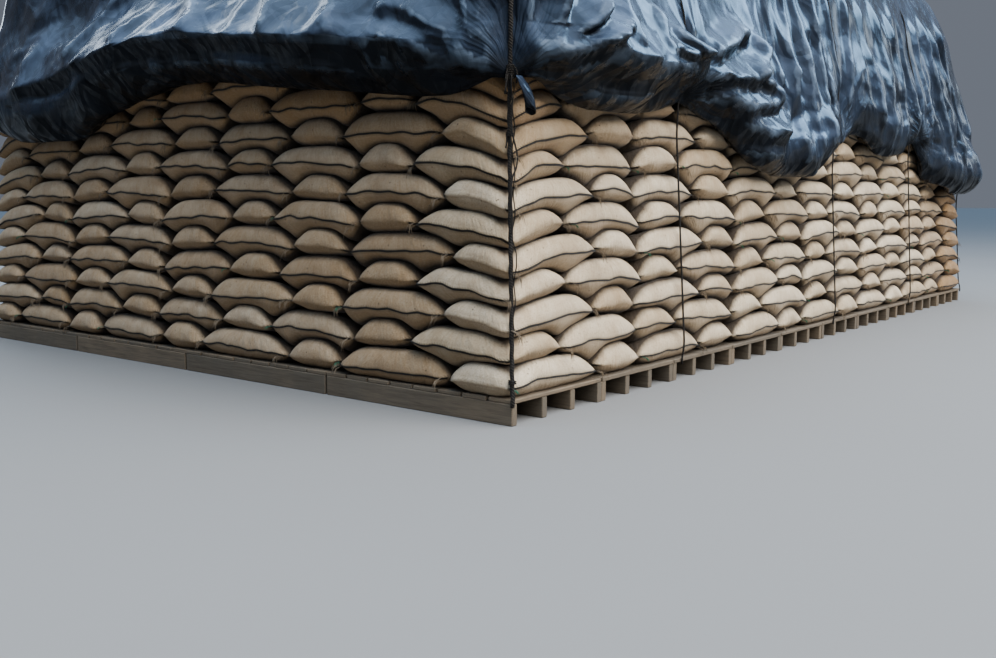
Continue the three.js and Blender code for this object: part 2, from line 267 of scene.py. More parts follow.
@dataclass
class Shell:
    """Points and faces that are gathered for one piece, with what its material reads at each point."""

    points: list[Array] = field(default_factory=list)
    quads: list[Array] = field(default_factory=list)
    triangles: list[Array] = field(default_factory=list)
    marks: dict[str, list[Array]] = field(default_factory=dict)
    cloth: list[Array] = field(default_factory=list)
    count: int = 0

    def add(self, points: Array, quads: Array, triangles: Array | None = None, cloth: Array | None = None,
            **marks: Array | float) -> None:
        """Adds one closed body.

        Args:
            points: Its points, with any shape before the last axis.
            quads: Its faces with four corners, as point numbers.
            triangles: Its faces with three corners.
            cloth: Place of each point on the flat cloth, in metres.
            marks: Values at the points, or one value for all.
        """
        flat = points.reshape(-1, 3)
        self.points.append(flat)
        self.quads.append(quads + self.count)
        if triangles is not None:
            self.triangles.append(triangles + self.count)
        place = np.zeros((len(flat), 2)) if cloth is None else cloth.reshape(-1, 2)
        self.cloth.append(place)
        for name, value in marks.items():
            values = np.broadcast_to(np.asarray(value, float).reshape(-1), (len(flat),))
            self.marks.setdefault(name, []).append(values)
        self.count += len(flat)

    def add_rings(self, rings: Array, cloth: Array | None = None, poles: Array | None = None,
                  flip: bool = False, **marks: Array | float) -> None:
        """Adds a closed body of rings, with a fan of faces over each end.

        Args:
            rings: Its points, ring by ring.
            cloth: Places on the flat cloth of the rings' points and of the two poles.
            poles: The middles of the two fans, or None for the middles of the end rings.
            flip: Whether the faces are wound the other way.
            marks: Values at the rings' points and at the poles, or one value for all.
        """
        rows, count = rings.shape[:2]
        total, ring = rows * count, np.arange(count)
        poles = np.stack([rings[0].mean(axis=0), rings[-1].mean(axis=0)]) if poles is None else poles
        caps = [fan_triangles(ring, total, not flip), fan_triangles(ring + total - count, total + 1, flip)]
        self.add(np.concatenate([rings.reshape(-1, 3), poles]), grid_quads(rows, count, flip),
                 np.concatenate(caps), cloth, **marks)

    def make(self, name: str, material: bpy.types.Material, smooth: bool = True) -> bpy.types.Object:
        """Puts everything into one mesh object at the origin.

        Args:
            name: Name of the piece.
            material: Its finish.
            smooth: Whether its faces are shaded smooth.

        Returns:
            The new object, linked to the scene.
        """
        faces = [np.concatenate(parts) if parts else np.zeros((0, sides), int)
                 for sides, parts in ((4, self.quads), (3, self.triangles))]
        corners = np.concatenate([part.ravel() for part in faces]).astype(np.int32)
        totals = np.concatenate([np.full(len(part), part.shape[1]) for part in faces]).astype(np.int32)
        starts = np.concatenate([[0], np.cumsum(totals)[:-1]]).astype(np.int32)
        mesh = bpy.data.meshes.new(name)
        mesh.vertices.add(self.count)
        mesh.vertices.foreach_set("co", np.concatenate(self.points).astype(np.float32).ravel())
        mesh.loops.add(len(corners))
        mesh.loops.foreach_set("vertex_index", corners)
        mesh.polygons.add(len(totals))
        mesh.polygons.foreach_set("loop_start", starts)
        mesh.polygons.foreach_set("loop_total", totals)
        mesh.update(calc_edges=True)
        mesh.validate()
        layer = mesh.uv_layers.new(name=CLOTH_LAYER)
        layer.data.foreach_set("uv", np.concatenate(self.cloth)[corners].astype(np.float32).ravel())
        for mark, values in self.marks.items():
            attribute = mesh.attributes.new(mark, "FLOAT", "POINT")
            attribute.data.foreach_set("value", np.concatenate(values).astype(np.float32))
        mesh.polygons.foreach_set("use_smooth", np.full(len(totals), smooth))
        mesh.materials.append(material)
        piece = bpy.data.objects.new(name, mesh)
        bpy.context.scene.collection.objects.link(piece)
        return piece

    def dress(self, name: str, material: bpy.types.Material, slot: str, *nodes: str,
              smooth: bool = True) -> bpy.types.Object:
        """Makes the piece, puts it on the body, and hides the model's nodes that it replaces.

        Args:
            name: Name of the piece.
            material: Its finish.
            slot: Not used.
            nodes: The model's nodes that it replaces.
            smooth: Whether its faces are shaded smooth.

        Returns:
            The piece.
        """
        piece = self.make(name, material, smooth)
        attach(piece, "root")
        if nodes:
            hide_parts(*nodes)
        LOG.info("%s: %d points", piece.name, self.count)
        return piece


@dataclass(frozen=True)
class Wire:
    """One output socket of a node tree, for shader maths written as Python."""

    graph: "Graph"
    socket: bpy.types.NodeSocket

    def __add__(self, other: "Wire | float") -> "Wire":
        """Sum."""
        return self.graph.math("ADD", self, other)

    def __sub__(self, other: "Wire | float") -> "Wire":
        """Difference."""
        return self.graph.math("SUBTRACT", self, other)

    def __rsub__(self, other: float) -> "Wire":
        """Difference from a number."""
        return self.graph.math("SUBTRACT", other, self)

    def __mul__(self, other: "Wire | float") -> "Wire":
        """Product."""
        return self.graph.math("MULTIPLY", self, other)

    __radd__ = __add__
    __rmul__ = __mul__


class Graph:
    """The node tree of one material, with one Principled shader."""

    def __init__(self, name: str) -> None:
        """Makes an empty material with its output.

        Args:
            name: Name of the material.
        """
        self.material = bpy.data.materials.new(name)
        self.material.use_nodes = True
        self.tree = self.material.node_tree
        self.tree.nodes.clear()

    def node(self, kind: str, settings: dict | None = None, inputs: dict | None = None,
             output: int = 0) -> Wire:
        """Adds any node.

        Args:
            kind: Blender's name of the node type.
            settings: Properties of the node, set first.
            inputs: Values or wires by socket name or number.
            output: Number of the output that is returned.

        Returns:
            The chosen output, or the node's first.
        """
        made = self.tree.nodes.new(kind)
        for key, value in (settings or {}).items():
            setattr(made, key, value)
        for key, value in (inputs or {}).items():
            if isinstance(value, Wire):
                self.tree.links.new(value.socket, made.inputs[key])
            else:
                made.inputs[key].default_value = value
        return Wire(self, made.outputs[output]) if made.outputs else Wire(self, None)

    def math(self, operation: str, first: Wire | float, second: Wire | float = 0.0) -> Wire:
        """One Math node."""
        return self.node("ShaderNodeMath", {"operation": operation}, {0: first, 1: second})

    def zigzag(self, value: Wire) -> Wire:
        """A line that goes up and down between 0 and 1."""
        return self.math("PINGPONG", value, 1.0)

    def vector(self, operation: str, first: Wire, second: tuple = (0.0, 0.0, 0.0), output: int = 0) -> Wire:
        """One Vector Math node."""
        return self.node("ShaderNodeVectorMath", {"operation": operation}, {0: first, 1: second}, output)

    def axis(self, place: Wire, number: int) -> Wire:
        """One of the three numbers of a place."""
        return self.node("ShaderNodeSeparateXYZ", None, {0: place}, number)

    def facing_up(self) -> Wire:
        """How far the surface faces up, from -1 to 1."""
        return self.axis(self.node("ShaderNodeNewGeometry", output=1), 2)

    def mapped(self, value: Wire, low: float, high: float, to_low: float = 0.0, to_high: float = 1.0) -> Wire:
        """A value's range carried to another one and held there."""
        ranges = {"From Min": low, "From Max": high, "To Min": to_low, "To Max": to_high}
        return self.node("ShaderNodeMapRange", {"clamp": True}, {"Value": value, **ranges})

    def mix(self, share: Wire | float, first: "Wire | tuple", second: "Wire | tuple") -> Wire:
        """A mix of two colours.

        Args:
            share: Share of the second one.
            first: A wire or three numbers.
            second: A wire or three numbers.

        Returns:
            The mixed colour.
        """
        colours = {6 + k: c if isinstance(c, Wire) else (*c, 1.0) for k, c in enumerate((first, second))}
        settings = {"data_type": "RGBA", "clamp_result": True}
        return self.node("ShaderNodeMix", settings, {0: share, **colours}, output=2)

    def layered(self, colour: "Wire", *layers: tuple) -> "Wire":
        """A colour with others laid over it, each with its share.

        Args:
            colour: The lowest colour.
            layers: Pairs of a share and a colour.

        Returns:
            The mixed colour.
        """
        for share, over in layers:
            colour = self.mix(share, colour, over)
        return colour

    def attribute(self, name: str) -> Wire:
        """A number kept at the points of the piece."""
        return self.node("ShaderNodeAttribute", {"attribute_name": name}, output=2)

    def object_place(self, scale: tuple = (1.0, 1.0, 1.0)) -> Wire:
        """Object coordinates, scaled."""
        place = self.node("ShaderNodeTexCoord", output=3)
        return self.node("ShaderNodeMapping", None, {"Vector": place, "Scale": scale})

    def cloth_place(self, scale: tuple = (1.0, 1.0, 1.0)) -> Wire:
        """Place on the flat cloth in metres, scaled."""
        place = self.node("ShaderNodeUVMap", {"uv_map": CLOTH_LAYER})
        return self.node("ShaderNodeMapping", None, {"Vector": place, "Scale": scale})

    def noise(self, place: Wire, scale: float, detail: float = 3.0, roughness: float = 0.55,
              distortion: float = 0.0) -> Wire:
        """Noise from 0 to 1 at a place."""
        values = {"Scale": scale, "Detail": detail, "Roughness": roughness, "Distortion": distortion}
        return self.node("ShaderNodeTexNoise", None, {"Vector": place, **values})

    def bump(self, height: Wire, distance: float, strength: float = 1.0, under: Wire | None = None) -> Wire:
        """A Bump node, on top of another one if given."""
        inputs = {"Height": height, "Distance": distance, "Strength": strength}
        return self.node("ShaderNodeBump", None, inputs | ({} if under is None else {"Normal": under}))

    def surface(self, **inputs: "Wire | float | tuple") -> bpy.types.Material:
        """Ends the tree with a Principled shader.

        Args:
            inputs: Its sockets, with underscores for the spaces in their names.

        Returns:
            The finished material.
        """
        named = {key.replace("_", " "): value for key, value in inputs.items()}
        shader = self.node("ShaderNodeBsdfPrincipled", None, named)
        self.node("ShaderNodeOutputMaterial", None, {"Surface": shader})
        return self.material


@dataclass(frozen=True)
class JuteFinish:
    """Woven jute: pale in the open, browner at the ends of the stack and by the cover, partly its own
    browning and partly painted shade.
    """

    pale: tuple = (0.730, 0.615, 0.450)
    worn: tuple = (0.445, 0.335, 0.205)
    # brown of the sacks' own browning, and painted shade at the stack's ends and under the cover
    golden: tuple = (0.270, 0.155, 0.064)
    shaded: tuple = (0.225, 0.155, 0.080)
    between_threads: tuple = (0.15, 0.10, 0.055)
    dark_slub: tuple = (0.16, 0.10, 0.05)
    pale_slub: tuple = (0.62, 0.54, 0.41)
    speck: tuple = (0.075, 0.045, 0.025)
    stain: tuple = (0.20, 0.125, 0.065)
    # painted shade in the crevices between the sacks
    crevice: tuple = (0.030, 0.019, 0.011)
    # near-black seam line: painted shadow of the seam's lip, and the closing thread's stitches
    dark_thread: tuple = (0.010, 0.007, 0.004)
    dyed_thread: tuple = (0.035, 0.16, 0.09)
    weave_pitch: float = 0.0026
    seam_width: float = 0.0085
    stitch_pitch: float = 0.021

    def material(self) -> bpy.types.Material:
        """Builds the woven cloth, its mottling, its specks, its creases, its stitched seam, and painted shade
        on its undersides, in its crevices and along its seam.

        Returns:
            The finish.
        """
        g = Graph("woven_jute")
        place = g.object_place()
        cloth = g.cloth_place()
        mottle = g.noise(place, 2.3, 4.0)
        patches = g.noise(place, 9.0, 4.0, 0.6)
        ribs = g.noise(g.cloth_place((30.0, 3.0, 1.0)), 2.2, 4.0, 0.6, 0.3)
        slubs = g.noise(g.cloth_place((1.0, 1.6, 1.0)), 75.0, 3.0, 0.7, 0.4)
        along, across = g.axis(cloth, 0), g.axis(cloth, 1)
        threads = 2 * math.pi / self.weave_pitch
        weave = g.math("SINE", along * threads) * g.math("SINE", across * threads)
        uneven = patches - 0.5
        browned_and_shaded = g.attribute("Golden") + uneven * 0.5 + (ribs - 0.5) * 0.3
        specks = g.node("ShaderNodeTexVoronoi", {"feature": "F1"}, {"Vector": place, "Scale": 21.0})
        speckled = g.mapped(specks, 0.14, 0.07) * g.mapped(g.noise(place, 4.0, 2.0), 0.46, 0.56)
        wear = mottle * 0.5 + patches * 0.4 + ribs * 0.35 + g.attribute("Tone") * 0.45
        colour = g.layered(
            g.mix(g.mapped(wear, 0.55, 1.15), self.pale, self.worn),
            (g.mapped(g.facing_up() + uneven * 0.5, 0.25, -0.55, 0.0, 0.75), self.shaded),
            # partly the sacks' own browning, partly painted shade at the stack's ends and under the cover
            (g.mapped(browned_and_shaded, 0.05, 0.95), self.golden),
            (g.mapped(weave, -1, 1, 0.0, 0.22), self.between_threads),
            (g.mapped(slubs, 0.50, 0.72, 0.0, 0.50), self.dark_slub),
            (g.mapped(slubs, 0.44, 0.28, 0.0, 0.22), self.pale_slub),
            (speckled * 0.85, self.speck),
            (g.mapped(g.noise(place, 1.3, 6.0, 0.72), 0.54, 0.74) * 0.5, self.stain),
            # painted shade: darker the deeper the cloth lies behind the wall's face
            (g.mapped(g.attribute("Deep") + uneven * 0.02, 0.044, 0.080, 0.0, 0.95), self.crevice),
            # painted shadow of the seam's lip as a dark line, with stitches of thread over it
            (self.stitching(g, along, across), self.dark_thread),
            (g.attribute("Dyed"), self.dyed_thread),
        )
        folds = g.bump(g.noise(g.cloth_place((3.6, 1.0, 1.0)), 6.0, 3.0, 0.6, 0.8), 0.020, 0.55)
        ribbed = g.bump(ribs, 0.004, 0.5, folds)
        lumps = g.bump(g.noise(place, 34.0, 3.0, 0.6), 0.005, 0.5, ribbed)
        woven = g.bump(weave, 0.0006, 0.55, lumps)
        return g.surface(Base_Color=colour, Roughness=g.mapped(patches, 0.3, 0.7, 0.88, 0.98), Normal=woven,
                         Specular_IOR_Level=0.15, Sheen_Weight=0.08, Sheen_Roughness=0.6)

    def stitching(self, g: Graph, along: Wire, across: Wire) -> Wire:
        """Where the seam is darkened: a dark line on it, painted shadow of the seam's lip, with slanted
        stitches of the closing thread over it.

        Args:
            g: The material's graph.
            along: Place along the seam.
            across: Distance from it, up the cloth.

        Returns:
            The thread's share, from 0 to 1.
        """
        away = g.math("ABSOLUTE", across)
        line = g.mapped(away, self.seam_width, self.seam_width * 0.6)
        slant = g.math("SINE", (along + across * 1.6) * (2 * math.pi / self.stitch_pitch))
        stitches = g.mapped(away, self.seam_width * 2.2, self.seam_width * 1.5) * g.mapped(slant, 0.45, 0.75)
        return g.math("MAXIMUM", line, stitches * 0.8) * g.mapped(g.attribute("Seam"), 0.2, 0.9)


@dataclass(frozen=True)
class PolytheneFinish:
    """Thick black polythene film, creased, dusty, and glossy where the rain washes it, with a painted sky
    sheen where it faces up and painted highlights along its crests.

    A row of creases is their direction and pitch, how far they wander, and their share. A row of rays is how
    close they stand and how deep they are.
    """

    film: tuple = (0.0022, 0.0028, 0.0040)
    # dust and a painted blue sky sheen
    dust: tuple = (0.060, 0.088, 0.147)
    # painted highlight along the crests, partly stress-whitening of the film
    stretched: tuple = (0.17, 0.23, 0.31)
    creases: tuple = (
        ((3.1, 2.6, 0.35), 0.9, 0.9),
        ((-2.3, 1.9, 1.9), 1.1, 0.6),
        ((2.0, -1.4, 2.7), 1.3, 0.5),
        ((7.5, 6.6, 1.0), 1.2, 0.46),
        ((-5.2, 5.9, 6.4), 1.6, 0.30),
        ((13.0, -9.0, 12.0), 2.2, 0.12),
    )
    rays: tuple = ((9.0, 0.055), (23.0, 0.020))
    ray_reach: float = 0.70
    ray_shift: float = 40.0

    @staticmethod
    def knots() -> list[tuple[tuple, float]]:
        """Places where a rope gathers the film, each with how its rays turn round the corner there.

        Returns:
            Pairs of a place and a number from -1 to 1.
        """
        plan = CoverPlan()
        face = SIZES.half_width - plan.sheet_plane
        end = SIZES.half_length - plan.sheet_plane
        places = []
        for wall, side in ((Side.FRONT.value, -1), (Side.BACK.value, 1)):
            for mark in plan.rope_marks[wall]:
                height = layer_top(plan.hem_layers(wall, mark)) + 0.03
                places.append(((side * (SIZES.half_length - mark), side * face, height), 0.0))
        height = layer_top(plan.hem_corners[0][0]) + 0.02
        return places + [((-end, side * face, height), float(side)) for side in (-1, 1)]

    def rayed(self, g: Graph, place: Wire) -> Wire:
        """Height of the creases that run out of each gather like rays.

        A crease is a zigzag of the angle round the gather. It grows with the distance and then fades with it.

        Args:
            g: The material's graph.
            place: Object coordinates.

        Returns:
            The creases' height in metres.
        """
        wander = g.noise(place, 3.2, 2.0, 0.5)
        parts = []
        for knot, turn in self.knots():
            away = g.vector("SUBTRACT", place, knot)
            reach = g.vector("LENGTH", away, output=1)
            x, y, z = (g.axis(away, k) for k in range(3))
            angle = g.math("ARCTAN2", z, x + y * turn)
            fade = g.mapped(reach, 0.02, self.ray_reach, 1.0, 0.0) * reach
            parts += [g.zigzag(angle * count + wander * (0.5 * count) + self.ray_shift) * fade * depth
                      for count, depth in self.rays]
        return sum(parts[1:], parts[0])

    def folded(self, g: Graph, place: Wire) -> Wire:
        """Height of small crisp creases: a sum of zigzags across wandering directions.

        Args:
            g: The material's graph.
            place: Object coordinates.

        Returns:
            The sum of the zigzags.
        """
        parts = []
        for number, (way, wander, share) in enumerate(self.creases):
            wavy = g.noise(g.object_place((1.0, 1.0, 0.6)), 0.9 + 0.37 * number, 2.0, 0.5, 0.4)
            parts.append(g.zigzag(g.vector("DOT_PRODUCT", place, way, 1) + wavy * (wander * 5.0)) * share)
        return sum(parts[1:], parts[0])

    def material(self) -> bpy.types.Material:
        """Builds the glossy film with its dust, a painted sky sheen, painted highlights and whitening along
        its crests, and its small crisp creases.

        Returns:
            The finish.
        """
        g = Graph("black_polythene")
        place = g.object_place()
        dusty = g.mapped(g.noise(place, 1.6, 6.0, 0.65), 0.42, 0.72)
        facing_up = g.facing_up()
        # share of dust and painted sky sheen: more on the faces that look up
        settled_and_sky_sheen = g.mapped(facing_up, -0.35, 0.75)
        crest_patches = g.mapped(g.noise(place, 7.0, 3.0), 0.30, 0.62)
        crest = g.mapped(g.attribute("Crest"), 0.62, 1.05)
        # the crests' painted highlight: patchy, and stronger on the faces that look up
        shows = g.mapped(facing_up, -0.75, 0.15, 0.25, 1.0)
        colour = g.mix(dusty * settled_and_sky_sheen * 0.56 + settled_and_sky_sheen * 0.29 + dusty * 0.06, self.film, self.dust)
        colour = g.mix(crest * crest_patches * shows * 0.42, colour, self.stretched)
        creased = g.bump(self.folded(g, place), 0.045, 0.9)
        gathered = g.bump(self.rayed(g, place), 1.0, 0.9, creased)
        fine = g.bump(g.noise(place, 26.0, 3.0, 0.55, 0.6), 0.0022, 0.22, gathered)
        rough = g.mapped(dusty - crest * 0.6, -0.4, 1.0, 0.22, 0.42)
        washed = g.mapped(facing_up, -0.40, 0.20, 0.04, 1.0)
        return g.surface(Base_Color=colour, Roughness=rough, Normal=fine, Specular_IOR_Level=0.06,
                         Coat_Weight=washed, Coat_Roughness=0.19, Coat_IOR=1.46)


@dataclass(frozen=True)
class RopeFinish:
    """Dark tarred rope, laid up from three strands."""

    tarred: tuple = (0.009, 0.008, 0.0075)
    fibre: tuple = (0.040, 0.034, 0.027)
    lay: float = 0.048
    strands: int = 3

    def material(self) -> bpy.types.Material:
        """Builds the turn of the strands along the rope, from its place round and along it.

        Returns:
            The finish.
        """
        g = Graph("tarred_rope")
        cloth = g.cloth_place()
        turns = 2 * math.pi * self.strands
        turn = g.math("SINE", g.axis(cloth, 0) * turns + g.axis(cloth, 1) * (turns / self.lay))
        fuzz = g.noise(g.object_place(), 160.0, 3.0, 0.7)
        colour = g.mix(g.mapped(turn * 0.5 + fuzz, 0.1, 1.1, 0.0, 0.8), self.tarred, self.fibre)
        hairy = g.bump(fuzz, 0.001, 0.5, g.bump(g.mapped(turn, -1, 1), 0.0035, 0.9))
        return g.surface(Base_Color=colour, Roughness=0.88, Normal=hairy, Specular_IOR_Level=0.25)


@dataclass(frozen=True)
class TimberFinish:
    """Sawn softwood, greyed by weather and scuffed."""

    fresh: tuple = (0.200, 0.148, 0.096)
    greyed: tuple = (0.122, 0.102, 0.076)
    dark: tuple = (0.075, 0.058, 0.042)
    # painted shade under the stack, on the parts of the crates inside its footprint
    grime: tuple = (0.020, 0.016, 0.012)

    def material(self, solid: bool = False) -> bpy.types.Material:
        """Builds grain that runs along each board, with saw marks and painted shade under the stack.

        Args:
            solid: Whether the piece has no cloth places, so the grain follows X.

        Returns:
            The finish.
        """
        g = Graph("weathered_timber")
        place = g.object_place if solid else g.cloth_place
        grain = g.noise(place((1.6, 26.0, 26.0)), 2.4, 6.0, 0.62, 0.7)
        streak = g.noise(place((5.0, 130.0, 130.0)), 1.4, 3.0, 0.6)
        whole = g.object_place()
        weather = g.noise(whole, 3.1, 4.0)
        from_end = SIZES.half_length - g.math("ABSOLUTE", g.axis(whole, 0))
        from_face = SIZES.half_width - g.math("ABSOLUTE", g.axis(whole, 1))
        colour = g.layered(
            g.mix(g.mapped(weather + g.attribute("Tone") * 0.6, 0.3, 1.1), self.fresh, self.greyed),
            (g.mapped(grain, 0.42, 0.7, 0.0, 0.7), self.dark),
            (g.mapped(streak, 0.5, 0.75, 0.0, 0.35), self.dark),
            # painted shade: darker the further a board lies in under the stack
            (g.mapped(g.math("MINIMUM", from_end, from_face), 0.02, 0.22, 0.0, 0.85), self.grime),
        )
        rough = g.bump(grain * 0.7 + streak * 0.3, 0.004, 0.7)
        return g.surface(Base_Color=colour, Roughness=0.87, Normal=rough, Specular_IOR_Level=0.25)


@dataclass(frozen=True)
class FloorFinish:
    """Plain pale studio floor."""

    paint: tuple = (0.20, 0.197, 0.19)

    def material(self) -> bpy.types.Material:
        """Builds matt paint with a trace of unevenness.

        Returns:
            The finish.
        """
        g = Graph("studio_floor")
        cloudy = g.noise(g.object_place(), 0.35, 3.0)
        colour = g.mix(g.mapped(cloudy, 0.3, 0.7, 0.0, 0.25), self.paint, tuple(c * 0.9 for c in self.paint))
        return g.surface(Base_Color=colour, Roughness=0.9, Specular_IOR_Level=0.2)


@dataclass(frozen=True)
class Lamp:
    """One square area lamp: its middle, what it faces, its side in metres, its power in watts and its colour.

    It lights matt surfaces, shines in glossy ones, or both.
    """

    name: str
    place: tuple
    target: tuple
    size: float
    power: float
    colour: tuple
    lights: bool = True
    shines: bool = True

    def hang(self) -> None:
        """Adds the lamp to the scene."""
        data = bpy.data.lights.new(self.name, "AREA")
        data.size = self.size
        data.energy = self.power
        data.color = self.colour
        lamp = bpy.data.objects.new(self.name, data)
        lamp.location = self.place
        lamp.rotation_euler = facing(Vector(self.target) - Vector(self.place))
        lamp.visible_camera = False
        lamp.visible_diffuse = self.lights
        lamp.visible_glossy = self.shines
        bpy.context.scene.collection.objects.link(lamp)


def facing(way: Vector) -> Euler:
    """The turn of a camera or a lamp that looks along a way."""
    return way.to_track_quat("-Z", "Y").to_euler()


@dataclass
class Studio:
    """Camera at the photograph's place, plain floor and soft light."""

    eye: tuple = (-8.95, -6.42, 1.25)
    heading_degrees: float = 38.5
    pitch_degrees: float = 7.26
    lens: float = 36.61
    sensor: float = 36.0
    sight: float = 400.0
    floor_half_size: float = 160.0
    low_sky: tuple = (0.40, (0.050, 0.056, 0.068))
    high_sky: tuple = (0.92, (0.44, 0.67, 1.0))
    strengths: tuple = (("From Min", 0.10), ("From Max", 0.70), ("To Min", 2.0), ("To Max", 3.1))
    lamps: tuple = (
        Lamp("key", (-1.5, -16.0, 16.5), (0.0, -3.0, 1.2), 25.0, 15800.0, (1.0, 0.975, 0.94), shines=False),
        Lamp("sky", (9.5, -12.0, 14.5), (-1.5, -3.0, 2.0), 12.0, 4500.0, (0.38, 0.66, 1.0), lights=False),
        Lamp("top", (-6.0, -2.0, 14.0), (-1.0, -1.0, 2.0), 10.0, 900.0, (0.80, 0.90, 1.0), shines=False),
        Lamp("far", (15.5, -9.5, 6.5), (3.5, -3.0, 1.8), 3.0, 80.0, (0.72, 0.87, 1.0), lights=False),
        Lamp("back", (4.0, 16.0, 10.0), (0.0, 3.0, 1.5), 12.0, 2600.0, (0.70, 0.84, 1.0)),
    )

    def camera(self) -> None:
        """Sets the scene's camera."""
        data = bpy.data.cameras.new("view")
        data.sensor_width = self.sensor
        data.lens = self.lens
        data.clip_end = self.sight
        camera = bpy.data.objects.new("view", data)
        bpy.context.scene.collection.objects.link(camera)
        heading, pitch = math.radians(self.heading_degrees), math.radians(self.pitch_degrees)
        level = math.cos(pitch)
        way = Vector((math.cos(heading) * level, math.sin(heading) * level, -math.sin(pitch)))
        camera.location = self.eye
        camera.rotation_euler = facing(way)
        bpy.context.scene.camera = camera

    def floor(self) -> None:
        """Lays the floor at the height that the crates stand on."""
        size = self.floor_half_size
        points = np.array([(-size, -size, 0), (size, -size, 0), (size, size, 0), (-size, size, 0)], float)
        shell = Shell()
        shell.add(points, np.array([[0, 1, 2, 3]]))
        shell.make("studio_floor", FloorFinish().material(), smooth=False)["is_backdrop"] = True

    def sky(self) -> None:
        """Sets a pale sky, brightest overhead and towards the far end."""
        world = bpy.data.worlds.new("pale_sky")
        world.use_nodes = True
        tree = world.node_tree
        background = tree.nodes["Background"]
        place, split, ramp, side = (tree.nodes.new(f"ShaderNode{kind}")
                                    for kind in ("TexCoord", "SeparateXYZ", "ValToRGB", "MapRange"))
        for element, (height, colour) in zip(ramp.color_ramp.elements, (self.low_sky, self.high_sky)):
            element.color = (*colour, 1.0)
            element.position = height
        for key, value in self.strengths:
            side.inputs[key].default_value = value
        for output, socket in (
            (place.outputs["Generated"], split.inputs[0]),
            (split.outputs[2], ramp.inputs[0]),
            (ramp.outputs[0], background.inputs["Color"]),
            (split.outputs[0], side.inputs["Value"]),
            (side.outputs[0], background.inputs["Strength"]),
        ):
            tree.links.new(output, socket)
        bpy.context.scene.world = world

    def build(self) -> None:
        """Makes the camera, the floor, the sky and the lamps."""
        self.camera()
        self.floor()
        self.sky()
        for lamp in self.lamps:
            lamp.hang()


@dataclass(frozen=True)
class SackPlace:
    """One sack of a layer, as it lies against its wall."""

    layer: int
    wall: int
    number: int
    start: float
    length: float
    depth: float

    @property
    def seeds(self) -> Array:
        """Seven numbers from 0 to 1 that are this sack's own."""
        return np.random.default_rng([self.layer, self.wall, self.number]).uniform(size=7)

    @property
    def middle(self) -> float:
        """Distance of its middle along the wall."""
        return self.start + 0.5 * self.length

    @property
    def at_corner(self) -> bool:
        """Whether it turns the wall's first corner."""
        return self.number == 0

    @property
    def is_stretcher(self) -> bool:
        """Whether its long side lies along the wall."""
        return self.length > self.depth


